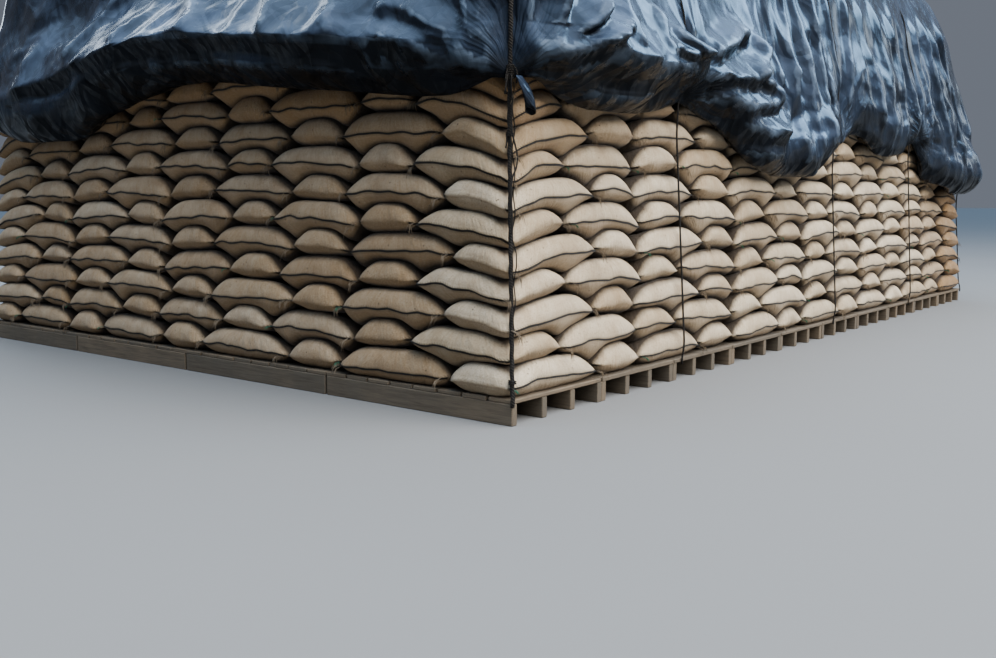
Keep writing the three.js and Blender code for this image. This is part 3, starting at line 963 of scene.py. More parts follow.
@dataclass
class SackWall:
    """The sacks of one layer along one wall, and the wavy line of their tops."""

    layer: int
    wall: int
    length: float
    sacks: list[SackPlace] = field(default_factory=list)
    rise: float = 0.020
    dip: float = 0.082
    tilt: float = 0.030
    uneven: float = 0.06
    corner_droops: tuple = (0.20, 0.10, 0.10, 0.20)
    droop_reach: float = 0.36
    step: float = 0.01
    span: float = 0.036
    span_steps: int = 12
    wave: float = 0.05
    sway: float = 0.012
    seam_marks: tuple = (0.03, 0.35, 0.5, 0.65, 0.97)

    def sack_lengths(self) -> list[float]:
        """The run of long sides and ends along this wall, before it is fitted to the wall.

        Returns:
            The lengths in order.
        """
        is_long_wall = self.wall % 2 == 0
        count = SIZES.on_long_face if is_long_wall else SIZES.on_short_face
        long_first = (self.layer % 2 == 0) == is_long_wall
        sway = np.random.default_rng([self.layer, self.wall, 5]).uniform(-self.uneven, self.uneven, count)
        lengths = []
        for i in range(count):
            base = SIZES.sack_length if (i % 2 == 0) == long_first else SIZES.sack_width
            wave = self.wave * math.sin(12.9 * self.layer + 78.2 * i + 37.7 * self.wall)
            lengths.append(base * (1 + wave + sway[i]))
        scale = self.length / sum(lengths)
        return [length * scale for length in lengths]

    def fill(self, corner_depth: float) -> None:
        """Lays the sacks along the wall.

        Args:
            corner_depth: How far the first sack, which turns the corner, reaches along the wall before.
        """
        start = 0.0
        for i, length in enumerate(self.sack_lengths()):
            is_long = length > 0.5 * (SIZES.sack_length + SIZES.sack_width)
            depth = corner_depth if i == 0 else SIZES.sack_width if is_long else SIZES.sack_length
            self.sacks.append(SackPlace(self.layer, self.wall, i, start, length, depth))
            start += length

    def droop(self, level: float, distance: Array) -> Array:
        """How far a level sags towards the wall's two corners: it falls off exponentially from each.

        Args:
            level: Number of layers under it.
            distance: Distances along the wall.

        Returns:
            How far it hangs, in metres.
        """
        at_first, at_last = self.corner_droops[self.wall], self.corner_droops[(self.wall + 1) % 4]
        share = level / SIZES.shown_layers
        at_start = at_first * np.exp(-np.maximum(distance, 0) / self.droop_reach)
        at_end = at_last * np.exp(-np.maximum(self.length - distance, 0) / self.droop_reach)
        sway = self.sway * np.sin(distance * 1.7 + 2.1 * self.wall + 0.9 * level) * share
        return share * (at_start + at_end) + sway

    def sack_top(self, sack: SackPlace, distance: Array) -> Array:
        """Height of a sack's top along the wall: a dome that falls steeply near its two ends.

        Args:
            sack: The sack.
            distance: Distances along the wall.

        Returns:
            The heights.
        """
        seeds = sack.seeds
        t = np.clip((distance - sack.start) / sack.length, -0.12, 1.12)
        dip = self.dip * np.where(t < 0.5, 0.65 + 0.6 * seeds[0], 0.75 + 0.7 * seeds[4])
        power = 2.9 + 1.5 * seeds[1] if sack.length > 0.7 else 2.5 + 1.0 * seeds[1]
        dome = self.rise + self.tilt * (seeds[2] - 0.5) * 2 * (t - 0.5) - dip * np.abs(2 * t - 1) ** power
        return layer_top(self.layer + 1) + dome - self.droop(self.layer + 1, distance)

    def seam(self, sack: SackPlace, below: tuple, share: float, distance: Array) -> Array:
        """Height of a sack's seam along the wall: an arch from ear to ear.

        Args:
            sack: The sack.
            below: Top line of the layer below.
            share: Share of the sack's height at which the seam passes its middle.
            distance: Distances along the wall.

        Returns:
            The seam's heights.
        """
        marks = sack.start + sack.length * np.array(self.seam_marks)
        low = np.interp(marks, *below)
        high = self.sack_top(sack, marks)
        middle = low + (high - low) * np.array([0.5, share, share, share, 0.5])
        t = np.clip((distance - sack.start) / sack.length, 0, 1)
        arch = middle[1:4].mean() - 0.5 * (middle[0] + middle[4])
        return middle[0] + (middle[4] - middle[0]) * t + arch * (1 - np.abs(2 * t - 1) ** 2.3)

    def top_line(self) -> tuple[Array, Array]:
        """The line of the tops, as the cloth of the next layer spans it.

        Returns:
            Distances along the wall, and the heights there.
        """
        distance = np.arange(0, self.length + self.step, self.step)
        tops = np.full_like(distance, -1.0)
        for sack in self.sacks:
            inside = (distance >= sack.start - 1e-9) & (distance <= sack.start + sack.length + self.step)
            tops[inside] = np.maximum(tops[inside], self.sack_top(sack, distance[inside]))
        reach = np.arange(-self.span_steps, self.span_steps + 1) * self.step
        weights = np.exp(-0.5 * (reach / self.span) ** 2)
        padded = np.pad(tops, self.span_steps, mode="edge")
        return distance, np.convolve(padded, weights / weights.sum(), mode="valid")


@dataclass
class SackStack:
    """The eleven layers of sacks that show, each a piece of its own, with its closing threads.

    A pair of values is for the sacks that lie along the wall and for those that end at it. A row of the
    front's browning and painted shade is its amount, the distances between which it sets in, and the layer
    above which it does.
    """

    outline_points: int = 40
    profile_steps: int = 6
    edge_bulge: float = 0.080
    seam_height: float = 0.37
    undercut: float = 0.45
    seam_wobble: float = 0.009
    welt: float = 0.006
    lump: float = 0.007
    welt_turn: float = 0.10
    welt_notch: float = 0.002
    header_bulge: float = 1.18
    squareness: tuple = (6.8, 5.4)
    ear: float = 0.035
    lean_in: float = 0.026
    twist: float = 0.03
    seam_range: tuple = (0.24, 0.74)
    tuft_chances: tuple = (0.75, 0.3)
    squeeze: float = 0.014
    thinnest: float = 0.035
    shown_depth: float = 0.30
    hidden_share: float = 0.28
    threads_on_tuft: int = 8
    thread_grid: tuple = (4, 3)
    dyed_share: float = 0.16
    seam_shift: float = 0.08
    overlap: float = 0.004
    ear_limit: float = 0.012
    dent: float = 0.004
    end_stitched: float = 0.85
    thread_offset: float = 0.004
    own_browning: float = 0.16
    # browning with painted shade: by wall, along the front, and in the top layers under the cover
    side_browning: tuple = (0.0, 0.78, 0.12, 0.50)
    front_browning: tuple = ((0.8, 8.05, 8.75, None), (0.5, 1.2, 0.2, 7), (0.10, 4.5, 1.5, None),
                             (0.40, 6.8, 8.2, None))
    top_browning: float = 0.45

    @staticmethod
    def layers() -> list[tuple[list[SackWall], list[Wall]]]:
        """The sacks of all shown layers, by layer and wall, with the walls that they lie against.

        Returns:
            For each layer, its four rows of sacks and its four walls.
        """
        made = []
        for layer in range(SIZES.shown_layers):
            inset = SIZES.batter * layer
            walls = walls_of(SIZES.half_length - inset, SIZES.half_width - inset)
            rows = [SackWall(layer, number, wall.length) for number, wall in enumerate(walls)]
            for number, row in enumerate(rows):
                row.fill(rows[(number + 3) % 4].sack_lengths()[-1])
            made.append((rows, walls))
        return made

    def outline_angles(self, sack: SackPlace) -> Array:
        """Angles of the outline's points, from the hidden side round, and closest on the sides that show.

        Args:
            sack: The sack.

        Returns:
            The angles, rising.
        """
        fine = np.linspace(0.5 * math.pi, 2.5 * math.pi, 1441)
        x, y = self.outline(fine, 0.5 * sack.length, 0.5 * sack.depth, 5.0)
        shows = 0.5 * (y[1:] + y[:-1]) < -0.5 * sack.depth + self.shown_depth
        if sack.at_corner:
            shows |= 0.5 * (x[1:] + x[:-1]) < -0.5 * sack.length + self.shown_depth
        steps = np.hypot(np.diff(x), np.diff(y)) * np.where(shows, 1.0, self.hidden_share)
        run = np.concatenate([[0], np.cumsum(steps)])
        return np.interp(np.linspace(0, run[-1], self.outline_points + 1)[:-1], run, fine)

    @staticmethod
    def outline(angle: Array, half_length: Array | float, half_depth: Array | float,
                power: Array | float) -> tuple[Array, Array]:
        """A superellipse: each half size times a cosine or sine raised to two over the power."""
        ways = ((half_length, np.cos(angle)), (half_depth, np.sin(angle)))
        return tuple(half * np.sign(way) * np.abs(way) ** (2 / power) for half, way in ways)

    def heights(self, rows: list[SackWall], below: TopLines, sack: SackPlace, x: Array, y: Array) -> Array:
        """Lowest and highest surface of a sack over its plan, and its seam.

        A sack at a corner follows both of its walls: each counts the more, the nearer its wall is.

        Args:
            rows: The four walls of its layer.
            below: The top lines of the layer below.
            sack: The sack.
            x: Place along the wall, from the sack's middle.
            y: Place into the wall, from the sack's middle.

        Returns:
            The three heights at each place.
        """
        along, into = sack.middle + x, 0.5 * sack.depth + y
        middle = self.seam_height + self.seam_shift * (sack.seeds[5] - 0.5)

        def by_wall(wall: int, which: SackPlace, distance: Array) -> Array:
            """Heights by one wall.

            Args:
                wall: Number of the wall.
                which: Its sack.
                distance: Distances along it.

            Returns:
                The lowest surface, the highest one and the seam.
            """
            row, line = rows[wall], below[wall]
            return np.stack([np.interp(distance, *line), row.sack_top(which, distance),
                             row.seam(which, line, middle, distance)])

        levels = by_wall(sack.wall, sack, along)
        if sack.at_corner:
            before = (sack.wall + 3) % 4
            other = rows[before]
            round_corner = by_wall(before, other.sacks[-1], other.length - into)
            near, far = np.clip(along, 0.001, None), np.clip(into, 0.001, None)
            share = near / (near + far)
            levels = levels * share + round_corner * (1 - share)
        low, high, seam = levels
        spot = np.stack([along, into, np.full_like(along, 3.7 * sack.number + 1.3 * sack.layer)], axis=-1)
        seam = seam + self.seam_wobble * ripple(spot, 0.20, 31 + sack.wall)
        low, high = low - self.overlap, np.maximum(high, low + self.thinnest)
        return low, high, np.clip(seam, *(low + share * (high - low) for share in self.seam_range))

    def plan(self, sack: SackPlace, angle: Array, signed: Array, bend: Array) -> tuple[Array, Array]:
        """Where a sack's rings lie in its plan.

        A ring's inset from the seam is the bulge times one minus a cosine. The corners are drawn out to ears.

        Args:
            sack: The sack.
            angle: Angles of the outline's points.
            signed: How far each ring is from the seam, from -1 at the bottom to 1 at the top.
            bend: The same as an angle, without its sign.

        Returns:
            Places along the wall and into it, from the sack's middle.
        """
        seeds, stretcher = sack.seeds, sack.is_stretcher
        half_length, half_depth = 0.5 * sack.length + self.squeeze, 0.5 * sack.depth
        under = self.undercut * (np.sin(bend) ** 1.2 - 1 + np.cos(bend)) * (signed < 0)
        inset = self.edge_bulge * (1.0 if stretcher else self.header_bulge) * (1 - np.cos(bend) + under)
        away = np.abs(signed)
        notched = np.abs(away - self.welt_turn) < 1e-6
        welt = np.where(away < 1e-6, self.welt, 0.0) - np.where(notched, self.welt_notch, 0)
        power = self.squareness[0 if stretcher else 1] - 2.0 * np.sin(bend)
        x, y = self.outline(angle, half_length - inset + welt, half_depth - inset + welt, power)
        ear = 1 + self.ear * np.abs(np.sin(2 * angle)) ** 6 * np.cos(bend) ** 3
        x = x * np.minimum(ear, (half_length + self.ear_limit) / half_length)
        stand_in = 0.0 if sack.at_corner else self.lean_in * seeds[3]
        twist = self.twist * (seeds[4] - 0.5)
        turned = np.clip(x, -half_length, half_length) * twist
        return x, np.maximum(y * ear, -half_depth) + stand_in + turned + abs(twist) * half_length

    def add_sack(self, shell: Shell, rows: list[SackWall], below: TopLines, wall: Wall,
                 sack: SackPlace) -> Array:
        """Adds one sack as a closed pillow.

        Its rings run from the middle of its underside out to the seam and back to the middle of its top.

        Args:
            shell: The layer's shell.
            rows: The four walls of the layer.
            below: Top lines of the layer below.
            wall: The wall that it lies against.
            sack: The sack.

        Returns:
            Its outer ends at the seam, where the closing thread hangs out.
        """
        seeds = sack.seeds
        angle = self.outline_angles(sack)[None, :]
        upper = np.concatenate([[0.0, self.welt_turn], np.linspace(0, 1, self.profile_steps + 1)[1:]])
        signed = np.concatenate([-upper[::-1], upper[1:]])[:, None]
        bend = np.abs(signed) * 0.5 * math.pi
        x, y = self.plan(sack, angle, signed, bend)
        low, high, seam = self.heights(rows, below, sack, x, y)
        reach = np.where(signed >= 0, high - seam, -(seam - low))
        place = wall.start + wall.along * sack.middle - wall.out * (0.5 * sack.depth)
        flat = place + x[..., None] * wall.along - y[..., None] * wall.out
        points = np.concatenate([flat, (seam + reach * np.sin(bend))[..., None]], axis=-1)
        half_length, half_depth = 0.5 * sack.length + self.squeeze, 0.5 * sack.depth
        deep = np.minimum(y + half_depth, x + half_length) if sack.at_corner else y + half_depth
        seed = sack.layer * 101 + sack.wall * 29 + sack.number
        dent = ripple(points + seed * 0.37, 0.26, 5) + 0.5 * ripple(points + seed * 0.61, 0.11, 6)
        shrink = 1 - self.lump * (1 + dent) / max(half_depth, half_length)
        points[..., :2] = place + (points[..., :2] - place) * shrink[..., None]
        points[..., 2] += self.dent * dent * np.cos(bend)
        middle = points[len(points) // 2]
        up = reach * bend
        cloth = np.stack([np.broadcast_to(run_along(middle) + seeds[6] * 7, up.shape), up], axis=-1)
        long_side = np.abs(np.sin(angle)) if sack.is_stretcher else np.abs(np.cos(angle))
        end_stitched = 1.0 if not sack.is_stretcher and seeds[5] > self.end_stitched else 0.0
        stitched = np.broadcast_to(np.maximum(smooth_step(0.45, 0.6, long_side), end_stitched), up.shape)
        # the browning attribute is the sack's own browning and painted shade; Deep drives painted shade in
        # the crevices
        shell.add_rings(points, np.concatenate([cloth.reshape(-1, 2), np.zeros((2, 2))]),
                        Tone=seeds[1], Golden=self.golden(sack, seeds[2]), Dyed=0.0,
                        Deep=np.append(deep, [half_depth, half_depth]), Seam=np.append(stitched, [0.0, 0.0]))
        turned = np.mod(angle[0], 2 * math.pi)
        ears = [np.argmin(np.abs(turned - corner * math.pi)) for corner in (1.25, 1.75)]
        return middle[ears] + np.array([*wall.out, 0.0]) * self.thread_offset

    def golden(self, sack: SackPlace, chance: float) -> float:
        """How brown a sack is: partly its own browning and partly painted shade, most at the ends of the
        stack and in the rows by the cover.

        Args:
            sack: The sack.
            chance: A number from 0 to 1 of its own.

        Returns:
            A share from 0 to 1.
        """
        shade = self.own_browning * chance + self.side_browning[sack.wall]
        for amount, start, end, first_layer in self.front_browning if sack.wall == Side.FRONT.value else ():
            reach = 1.0 if first_layer is None else max(0.0, (sack.layer - first_layer) / 3)
            shade += amount * float(smooth_step(start, end, np.array(sack.middle))) * reach
        return min(shade + self.top_browning * max(0.0, (sack.layer - 7.4) / 3), 1.0)

    def add_tufts(self, shell: Shell, roots: Array, outs: Array, rng: np.random.Generator) -> None:
        """Adds the loose ends of the closing threads: thin strands that leave the ear and hang down.

        Args:
            shell: The layer's shell.
            roots: Where each tuft starts.
            outs: The outward direction of each tuft's wall.
            rng: Source of the strands' lengths and leans.
        """
        each, (steps, sides) = self.threads_on_tuft, self.thread_grid
        count = len(roots) * each
        dyed = np.repeat(rng.uniform(size=len(roots)) < self.dyed_share, each)
        scatter = np.where(dyed, 0.003, 0.007)[:, None]
        root = np.repeat(roots, each, axis=0) + rng.normal(0, 1, (count, 3)) * scatter
        out = np.repeat(outs, each, axis=0)
        length = np.where(dyed, rng.uniform(0.010, 0.024, count), rng.uniform(0.02, 0.075, count))
        side = rng.normal(0, 0.28, count)
        share = np.array([0.0, 0.3, 0.65, 1.0])
        away = np.array([0.0, 0.028, 0.042, 0.044]) + np.array([0.0, 0.2, 0.1, 0.12]) * length[:, None]
        tangent = np.stack([-out[:, 1], out[:, 0]], axis=1)
        path = np.zeros((count, steps, 3))
        path[..., :2] = root[:, None, :2] + out[:, None, :] * away[..., None]
        path[..., :2] += tangent[:, None, :] * (side * length)[:, None, None] * share[None, :, None] ** 1.5
        path[..., 2] = root[:, 2:3] - length[:, None] * (share ** 1.3)[None, :]
        width = (0.0021 * (1.2 - 0.7 * share))[None, :, None, None]
        turns = np.arange(sides) * 2 * math.pi / sides
        ring = np.stack([np.cos(turns), np.sin(turns), np.zeros(sides)], axis=-1)
        points = path[:, :, None, :] + ring[None, None] * width
        quads = grid_quads(steps, sides, flip=True)
        caps = np.array([[0, 1, 2], [11, 10, 9]])
        size = steps * sides
        starts = (np.arange(count) * size)[:, None, None]
        # the tufts get a fixed share of the browning and painted shade, and a fixed painted crevice shade
        shell.add(points, (quads[None] + starts).reshape(-1, 4), (caps[None] + starts).reshape(-1, 3),
                  Tone=0.5, Golden=0.35, Dyed=np.repeat(dyed, size), Deep=0.066, Seam=0.0)

    def build(self, jute: bpy.types.Material) -> None:
        """Builds one piece for each layer, from the lowest, in the finish of the sacks.

        Args:
            jute: The finish of the sacks.
        """
        below = [(np.array([0.0, 1.0]), np.full(2, SIZES.deck_top))] * 4
        for layer, (rows, walls) in enumerate(self.layers()):
            rng = np.random.default_rng(layer + 400)
            shell = Shell()
            roots, outs = [], []
            for row, wall in zip(rows, walls):
                for sack in row.sacks[:-1]:
                    ears = self.add_sack(shell, rows, below, wall, sack)
                    chance = self.tuft_chances[0 if sack.is_stretcher else 1]
                    chosen = [ear for ear in ears if rng.uniform() < chance]
                    roots.extend(chosen)
                    outs.extend([wall.out] * len(chosen))
            self.add_tufts(shell, np.array(roots), np.array(outs), rng)
            number = f"{layer + 1:02d}"
            piece = shell.dress(f"sacks_row_{number}", jute, "jute", f"sacks_layer_{number}")
            below = [row.top_line() for row in rows]


@dataclass(frozen=True)
class Fold:
    """A crisp fold of the film: a line on a wall, how far its crest stands out, and its two widths.

    The line is a list of (distance along the wall, height). The first width is on its left as it runs, seen
    from outside, and the second is on its right.
    """

    wall: int
    line: Array
    height: float
    left: float
    right: float
    crest_radius: float = 0.018

    @classmethod
    def rows(cls, wall: int, rows: tuple) -> tuple["Fold", ...]:
        """The folds of a wall, from rows of sizes in millimetres and lines in centimetres."""
        return tuple(cls(wall, np.array(line) / 100, *(np.array(sizes) / 1000)) for sizes, line in rows)

    def lift(self, distance: Array, height: Array) -> Array:
        """How far the fold lifts the film: a tent over its line, lower towards the line's ends.

        Args:
            distance: Distances along the wall.
            height: Heights.

        Returns:
            The lift at each place, in metres.
        """
        starts, ends = self.line[:-1], self.line[1:]
        ways = ends - starts
        lengths = np.hypot(ways[:, 0], ways[:, 1])
        before = np.concatenate([[0], np.cumsum(lengths)[:-1]]) / lengths.sum()
        px = distance[..., None] - starts[:, 0]
        pz = height[..., None] - starts[:, 1]
        share = np.clip((px * ways[:, 0] + pz * ways[:, 1]) / lengths**2, 0, 1)
        dx, dz = px - share * ways[:, 0], pz - share * ways[:, 1]
        gap = np.hypot(dx, dz)
        best = np.argmin(gap, axis=-1)[..., None]
        nearest, side, run = (np.take_along_axis(values, best, -1)[..., 0] for values in (
            gap, ways[:, 0] * dz - ways[:, 1] * dx, before + share * lengths / lengths.sum()))
        nearest = np.hypot(nearest, self.crest_radius) - self.crest_radius
        tent = np.clip(1 - nearest / np.where(side > 0, self.left, self.right), 0, 1) ** 1.2
        fade = smooth_step(0.0, 0.16, run) * smooth_step(1.0, 0.84, run) * 0.85 + 0.15
        return self.height * tent * fade


def through(marks_x: Array, marks_y: Array, x: Array, breaks: list[float]) -> Array:
    """A smooth line through marks, with a kink at each break.

    Each stretch is a cubic. Its slope at a mark is the mean slope beside it, or its own at a break.

    Args:
        marks_x: Places of the marks, rising.
        marks_y: Their values.
        x: Where the line is wanted.
        breaks: Places of the marks with a kink.

    Returns:
        The line's values.
    """
    slope = np.diff(marks_y) / np.diff(marks_x)
    before = np.concatenate([[slope[0]], slope])
    after = np.concatenate([slope, [slope[-1]]])
    kink = np.array([any(abs(m - b) < 1e-6 for b in breaks) for m in marks_x])
    level = np.where(before * after <= 0, 0.0, 0.5 * (before + after))
    left, right = np.where(kink, before, level), np.where(kink, after, level)
    i = np.clip(np.searchsorted(marks_x, x, side="right") - 1, 0, len(marks_x) - 2)
    run = marks_x[i + 1] - marks_x[i]
    t = np.clip((x - marks_x[i]) / run, 0, 1)
    a = (1 + 2 * t) * (1 - t) ** 2 * marks_y[i] + t * (1 - t) ** 2 * run * right[i]
    return a + t * t * (3 - 2 * t) * marks_y[i + 1] + t * t * (t - 1) * run * left[i + 1]


@dataclass
class CoverPlan:
    """Where the cover lies before its folds: its hem, its bags, and the dome that it rests on.

    A row of the dome is its height, its insets along X and Y, and the radius of its corners. A row of a hem
    is the distance along the wall, the hem's height in layers, and the bag's stand-off.
    """

    sheet_plane: float = 0.090
    sheet_corner: float = 0.095
    sheet_thickness: float = 0.006
    sheet_rest: float = 0.0004
    hem_clearance: float = 0.016
    bag_height: float = 0.280
    upper_stand_off: float = 0.025
    straight_run: float = 2.760
    dome: tuple = (
        (2.750, 0.144, 0.144, 0.220),
        (3.150, 0.205, 0.220, 0.290),
        (3.600, 0.380, 0.440, 0.400),
        (3.850, 0.690, 0.930, 0.500),
        (4.030, 1.010, 1.600, 0.540),
        (4.110, 1.280, 2.330, 0.460),
    )
    hems: tuple = (
        ((0.5, 9.2, 0.11), (1.0, 9.1, 0.17), (1.5, 9.3, 0.13), (1.95, 9.8, 0.032), (2.5, 8.9, 0.15),
         (3.0, 7.6, 0.21), (3.5, 7.2, 0.23), (4.0, 7.3, 0.22), (4.45, 8.0, 0.15), (4.85, 8.7, 0.032),
         (5.3, 9.5, 0.09), (5.9, 8.5, 0.15), (6.45, 8.7, 0.14), (7.1, 9.6, 0.032), (7.55, 7.6, 0.16),
         (8.0, 7.0, 0.21), (8.5, 6.5, 0.25)),
        ((0.7, 7.6, 0.22), (1.5, 8.9, 0.12), (2.3, 8.2, 0.19), (3.05, 9.0, 0.12), (3.8, 8.2, 0.19),
         (4.6, 8.9, 0.12), (5.4, 7.6, 0.22)),
        ((0.6, 6.9, 0.24), (1.3, 8.0, 0.17), (2.115, 9.6, 0.032), (2.8, 8.5, 0.17), (3.6, 8.4, 0.17),
         (4.365, 8.7, 0.032), (5.3, 7.6, 0.21), (6.3, 7.8, 0.2), (7.265, 9.8, 0.032), (8.0, 9.1, 0.15),
         (8.6, 9.2, 0.12)),
        ((0.6, 9.0, 0.18), (1.5, 8.8, 0.23), (2.4, 10.0, 0.25), (3.3, 10.7, 0.27), (4.2, 10.2, 0.27),
         (5.1, 9.7, 0.25), (5.7, 9.4, 0.15)),
    )
    hem_corners: tuple = ((9.8, 0.032), (6.6, 0.27), (6.6, 0.27), (9.8, 0.032))
    rope_marks: tuple = ((1.95, 4.85, 7.10), (), (2.115, 4.365, 7.265), ())

    def wall_length(self, wall: int) -> float:
        """Full length of a wall at the lowest layer."""
        return 2 * (SIZES.half_length if wall % 2 == 0 else SIZES.half_width)

    def hem_at(self, wall: int, distance: Array) -> tuple[Array, Array]:
        """Height of the hem in layers and stand-off of the bag, along a wall.

        Args:
            wall: Number of the wall.
            distance: Distances along it.

        Returns:
            The heights and the stand-offs.
        """
        first, last = self.hem_corners[wall], self.hem_corners[(wall + 1) % 4]
        length = self.wall_length(wall)
        marks = ((self.sheet_corner, *first), *self.hems[wall], (length - self.sheet_corner, *last))
        places, layers, bags = np.array(marks).T
        breaks = list(self.rope_marks[wall])
        return through(places, layers, distance, breaks), through(places, bags, distance, breaks)

    def hem_layers(self, wall: int, distance: float) -> float:
        """Height of the hem in layers at one place."""
        return float(self.hem_at(wall, np.array([distance]))[0][0])

    def ring(self, columns: "CoverColumns", inset_x: float, inset_y: float,
             radius: float) -> tuple[Array, Array]:
        """Place of every column on a rounded rectangle, and its outward direction.

        A column near the middle of a long wall keeps its own X, and the rest share what is left of the wall.

        Args:
            columns: The cover's columns.
            inset_x: How far the rectangle is drawn in along X.
            inset_y: How far it is drawn in along Y.
            radius: Radius of its corners.

        Returns:
            Places and directions, as arrays of X and Y.
        """
        places, outs = np.zeros((2, columns.count, 2))
        walls = walls_of(SIZES.half_length - inset_x, SIZES.half_width - inset_y)
        for number, wall in enumerate(walls):
            full = 0.5 * self.wall_length(number)
            fixed = self.straight_run if number % 2 == 0 else 0.0
            stretch = (0.5 * wall.length - radius - fixed) / (full - self.sheet_corner - fixed)
            here = columns.wall == number
            on_wall, turning = here & ~columns.at_corner, here & columns.at_corner
            offset = columns.distance[on_wall] - full
            drawn = np.sign(offset) * (fixed + (np.abs(offset) - fixed) * stretch)
            offset = np.where(np.abs(offset) <= fixed, offset, drawn)
            places[on_wall] = wall.start + wall.along * (0.5 * wall.length + offset)[:, None]
            outs[on_wall] = wall.out
            angle = columns.turn[turning][:, None] * 0.5 * math.pi
            before = walls[(number + 3) % 4].out
            way = before * np.cos(angle) + wall.out * np.sin(angle)
            places[turning] = wall.start - (before + wall.out) * radius + way * radius
            outs[turning] = way
        return places, outs

    def face(self, columns: "CoverColumns") -> tuple[Array, Array]:
        """Place of every column on the sheet's plane, and its outward direction."""
        return self.ring(columns, self.sheet_plane, self.sheet_plane, self.sheet_corner)

    def wall_marks(self, columns: "CoverColumns") -> list[tuple[Array, Array]]:
        """Height and stand-off of the cover at the hem, at the bag, and half way up from it to the eaves.

        Args:
            columns: The cover's columns.

        Returns:
            Three pairs of a height and a stand-off, by column.
        """
        hem = layer_top(columns.hem)
        top = hem + self.bag_height
        edge = self.sheet_plane - SIZES.batter * np.floor(columns.hem + 1e-6) + self.hem_clearance
        middle = 0.5 * (top + self.dome[0][0])
        return [(hem, edge), (top, columns.bag), (middle, self.upper_stand_off + 0.3 * columns.bag)]

    def keys(self, columns: "CoverColumns") -> Array:
        """The cover's outer face at the heights that shape it, from the hem's edge up to the ridge.

        Args:
            columns: The cover's columns.

        Returns:
            Points by column and key.
        """
        plane, out = self.face(columns)
        (hem, edge), (top, bag), (middle, upper) = self.wall_marks(columns)
        full = np.clip((bag - 0.04) / 0.2, 0, 1)
        wall_keys = [
            (edge + 0.02 * full, hem + 0.035 * full),
            (edge + (bag - edge) * 0.38, hem - 0.012 * full),
            (edge + (bag - edge) * 0.80, hem + 0.055 + 0.01 * full),
            (edge + (bag - edge) * 0.98, hem + 0.165),
            (bag, top),
            (0.45 * upper + 0.55 * bag, top + 0.42 * (middle - top)),
            (upper, middle),
        ]
        keys = [np.concatenate([plane + out * stand[:, None], z[:, None]], axis=1) for stand, z in wall_keys]
        grow = self.sheet_rest + self.sheet_thickness
        z, inset_x, inset_y, radius = self.dome[-1]
        flat = [(z, inset_x + 0.35, inset_y + 0.37, radius - 0.25), (z, inset_x + 0.60, inset_y + 0.70, 0.02)]
        for z, inset_x, inset_y, radius in [*self.dome, *flat]:
            place, _ = self.ring(columns, inset_x - grow, inset_y - grow, radius + grow)
            keys.append(np.concatenate([place, np.full((columns.count, 1), z + grow)], axis=1))
        return np.stack(keys, axis=1)


@dataclass
class CoverColumns:
    """The columns of the cover's grid: each one's wall, and its distance along it or turn round a corner."""

    wall: Array
    distance: Array
    turn: Array
    at_corner: Array
    hem: Array
    bag: Array

    @property
    def count(self) -> int:
        """Number of columns."""
        return len(self.wall)

    def unrolled(self, plan: CoverPlan) -> tuple[Array, Array]:
        """The wall and the distance along it of every column, with each half of a corner's turn laid flat.

        Args:
            plan: The cover's plan.

        Returns:
            The walls' numbers and the distances.
        """
        arc = 0.5 * math.pi * plan.sheet_corner
        ends = self.at_corner & (self.turn < 0.5)
        starts = self.at_corner & ~ends
        walls = np.where(ends, (self.wall + 3) % 4, self.wall)
        lengths = np.array([plan.wall_length(wall) for wall in range(4)])[walls]
        distances = np.where(ends, lengths - plan.sheet_corner + self.turn * arc, self.distance)
        return walls, np.where(starts, plan.sheet_corner - (1 - self.turn) * arc, distances)

    @classmethod
    def turning(cls, plan: CoverPlan, wall: int, turns: Array) -> "CoverColumns":
        """Columns in the corner before a wall, at shares of its turn."""
        hem, bag = (np.full(len(turns), value) for value in plan.hem_corners[wall])
        return cls(np.full(len(turns), wall), np.zeros(len(turns)), turns, turns > -1, hem, bag)

    @classmethod
    def standing(cls, plan: CoverPlan, wall: int, along: Array) -> "CoverColumns":
        """Columns at distances along a wall."""
        none = np.zeros(len(along))
        return cls(np.full(len(along), wall), along, none, none > 0, *plan.hem_at(wall, along))

    @classmethod
    def spread(cls, plan: CoverPlan, spacings: tuple, corner_steps: int) -> "CoverColumns":
        """Spreads columns along the walls.

        Args:
            plan: The cover's plan.
            spacings: For each wall, its runs of (distance from, distance to, number of columns).
            corner_steps: Number of columns inside a corner's turn.

        Returns:
            The columns in order round the stack.
        """
        parts = []
        for wall, runs in enumerate(spacings):
            parts.append(cls.turning(plan, wall, (np.arange(corner_steps) + 0.5) / corner_steps))
            along = [np.linspace(a, b, count, endpoint=False) for a, b, count in runs]
            along.append([plan.wall_length(wall) - plan.sheet_corner])
            parts.append(cls.standing(plan, wall, np.concatenate(along)))
        names = [column.name for column in fields(cls)]
        return cls(*[np.concatenate([getattr(part, name) for part in parts]) for name in names])

    @classmethod
    def single(cls, plan: CoverPlan, wall: int, distance: float | None) -> "CoverColumns":
        """One column at a distance along a wall, or in the middle of the corner before it."""
        made, place = (cls.turning, 0.5) if distance is None else (cls.standing, distance)
        return made(plan, wall, np.array([place]))


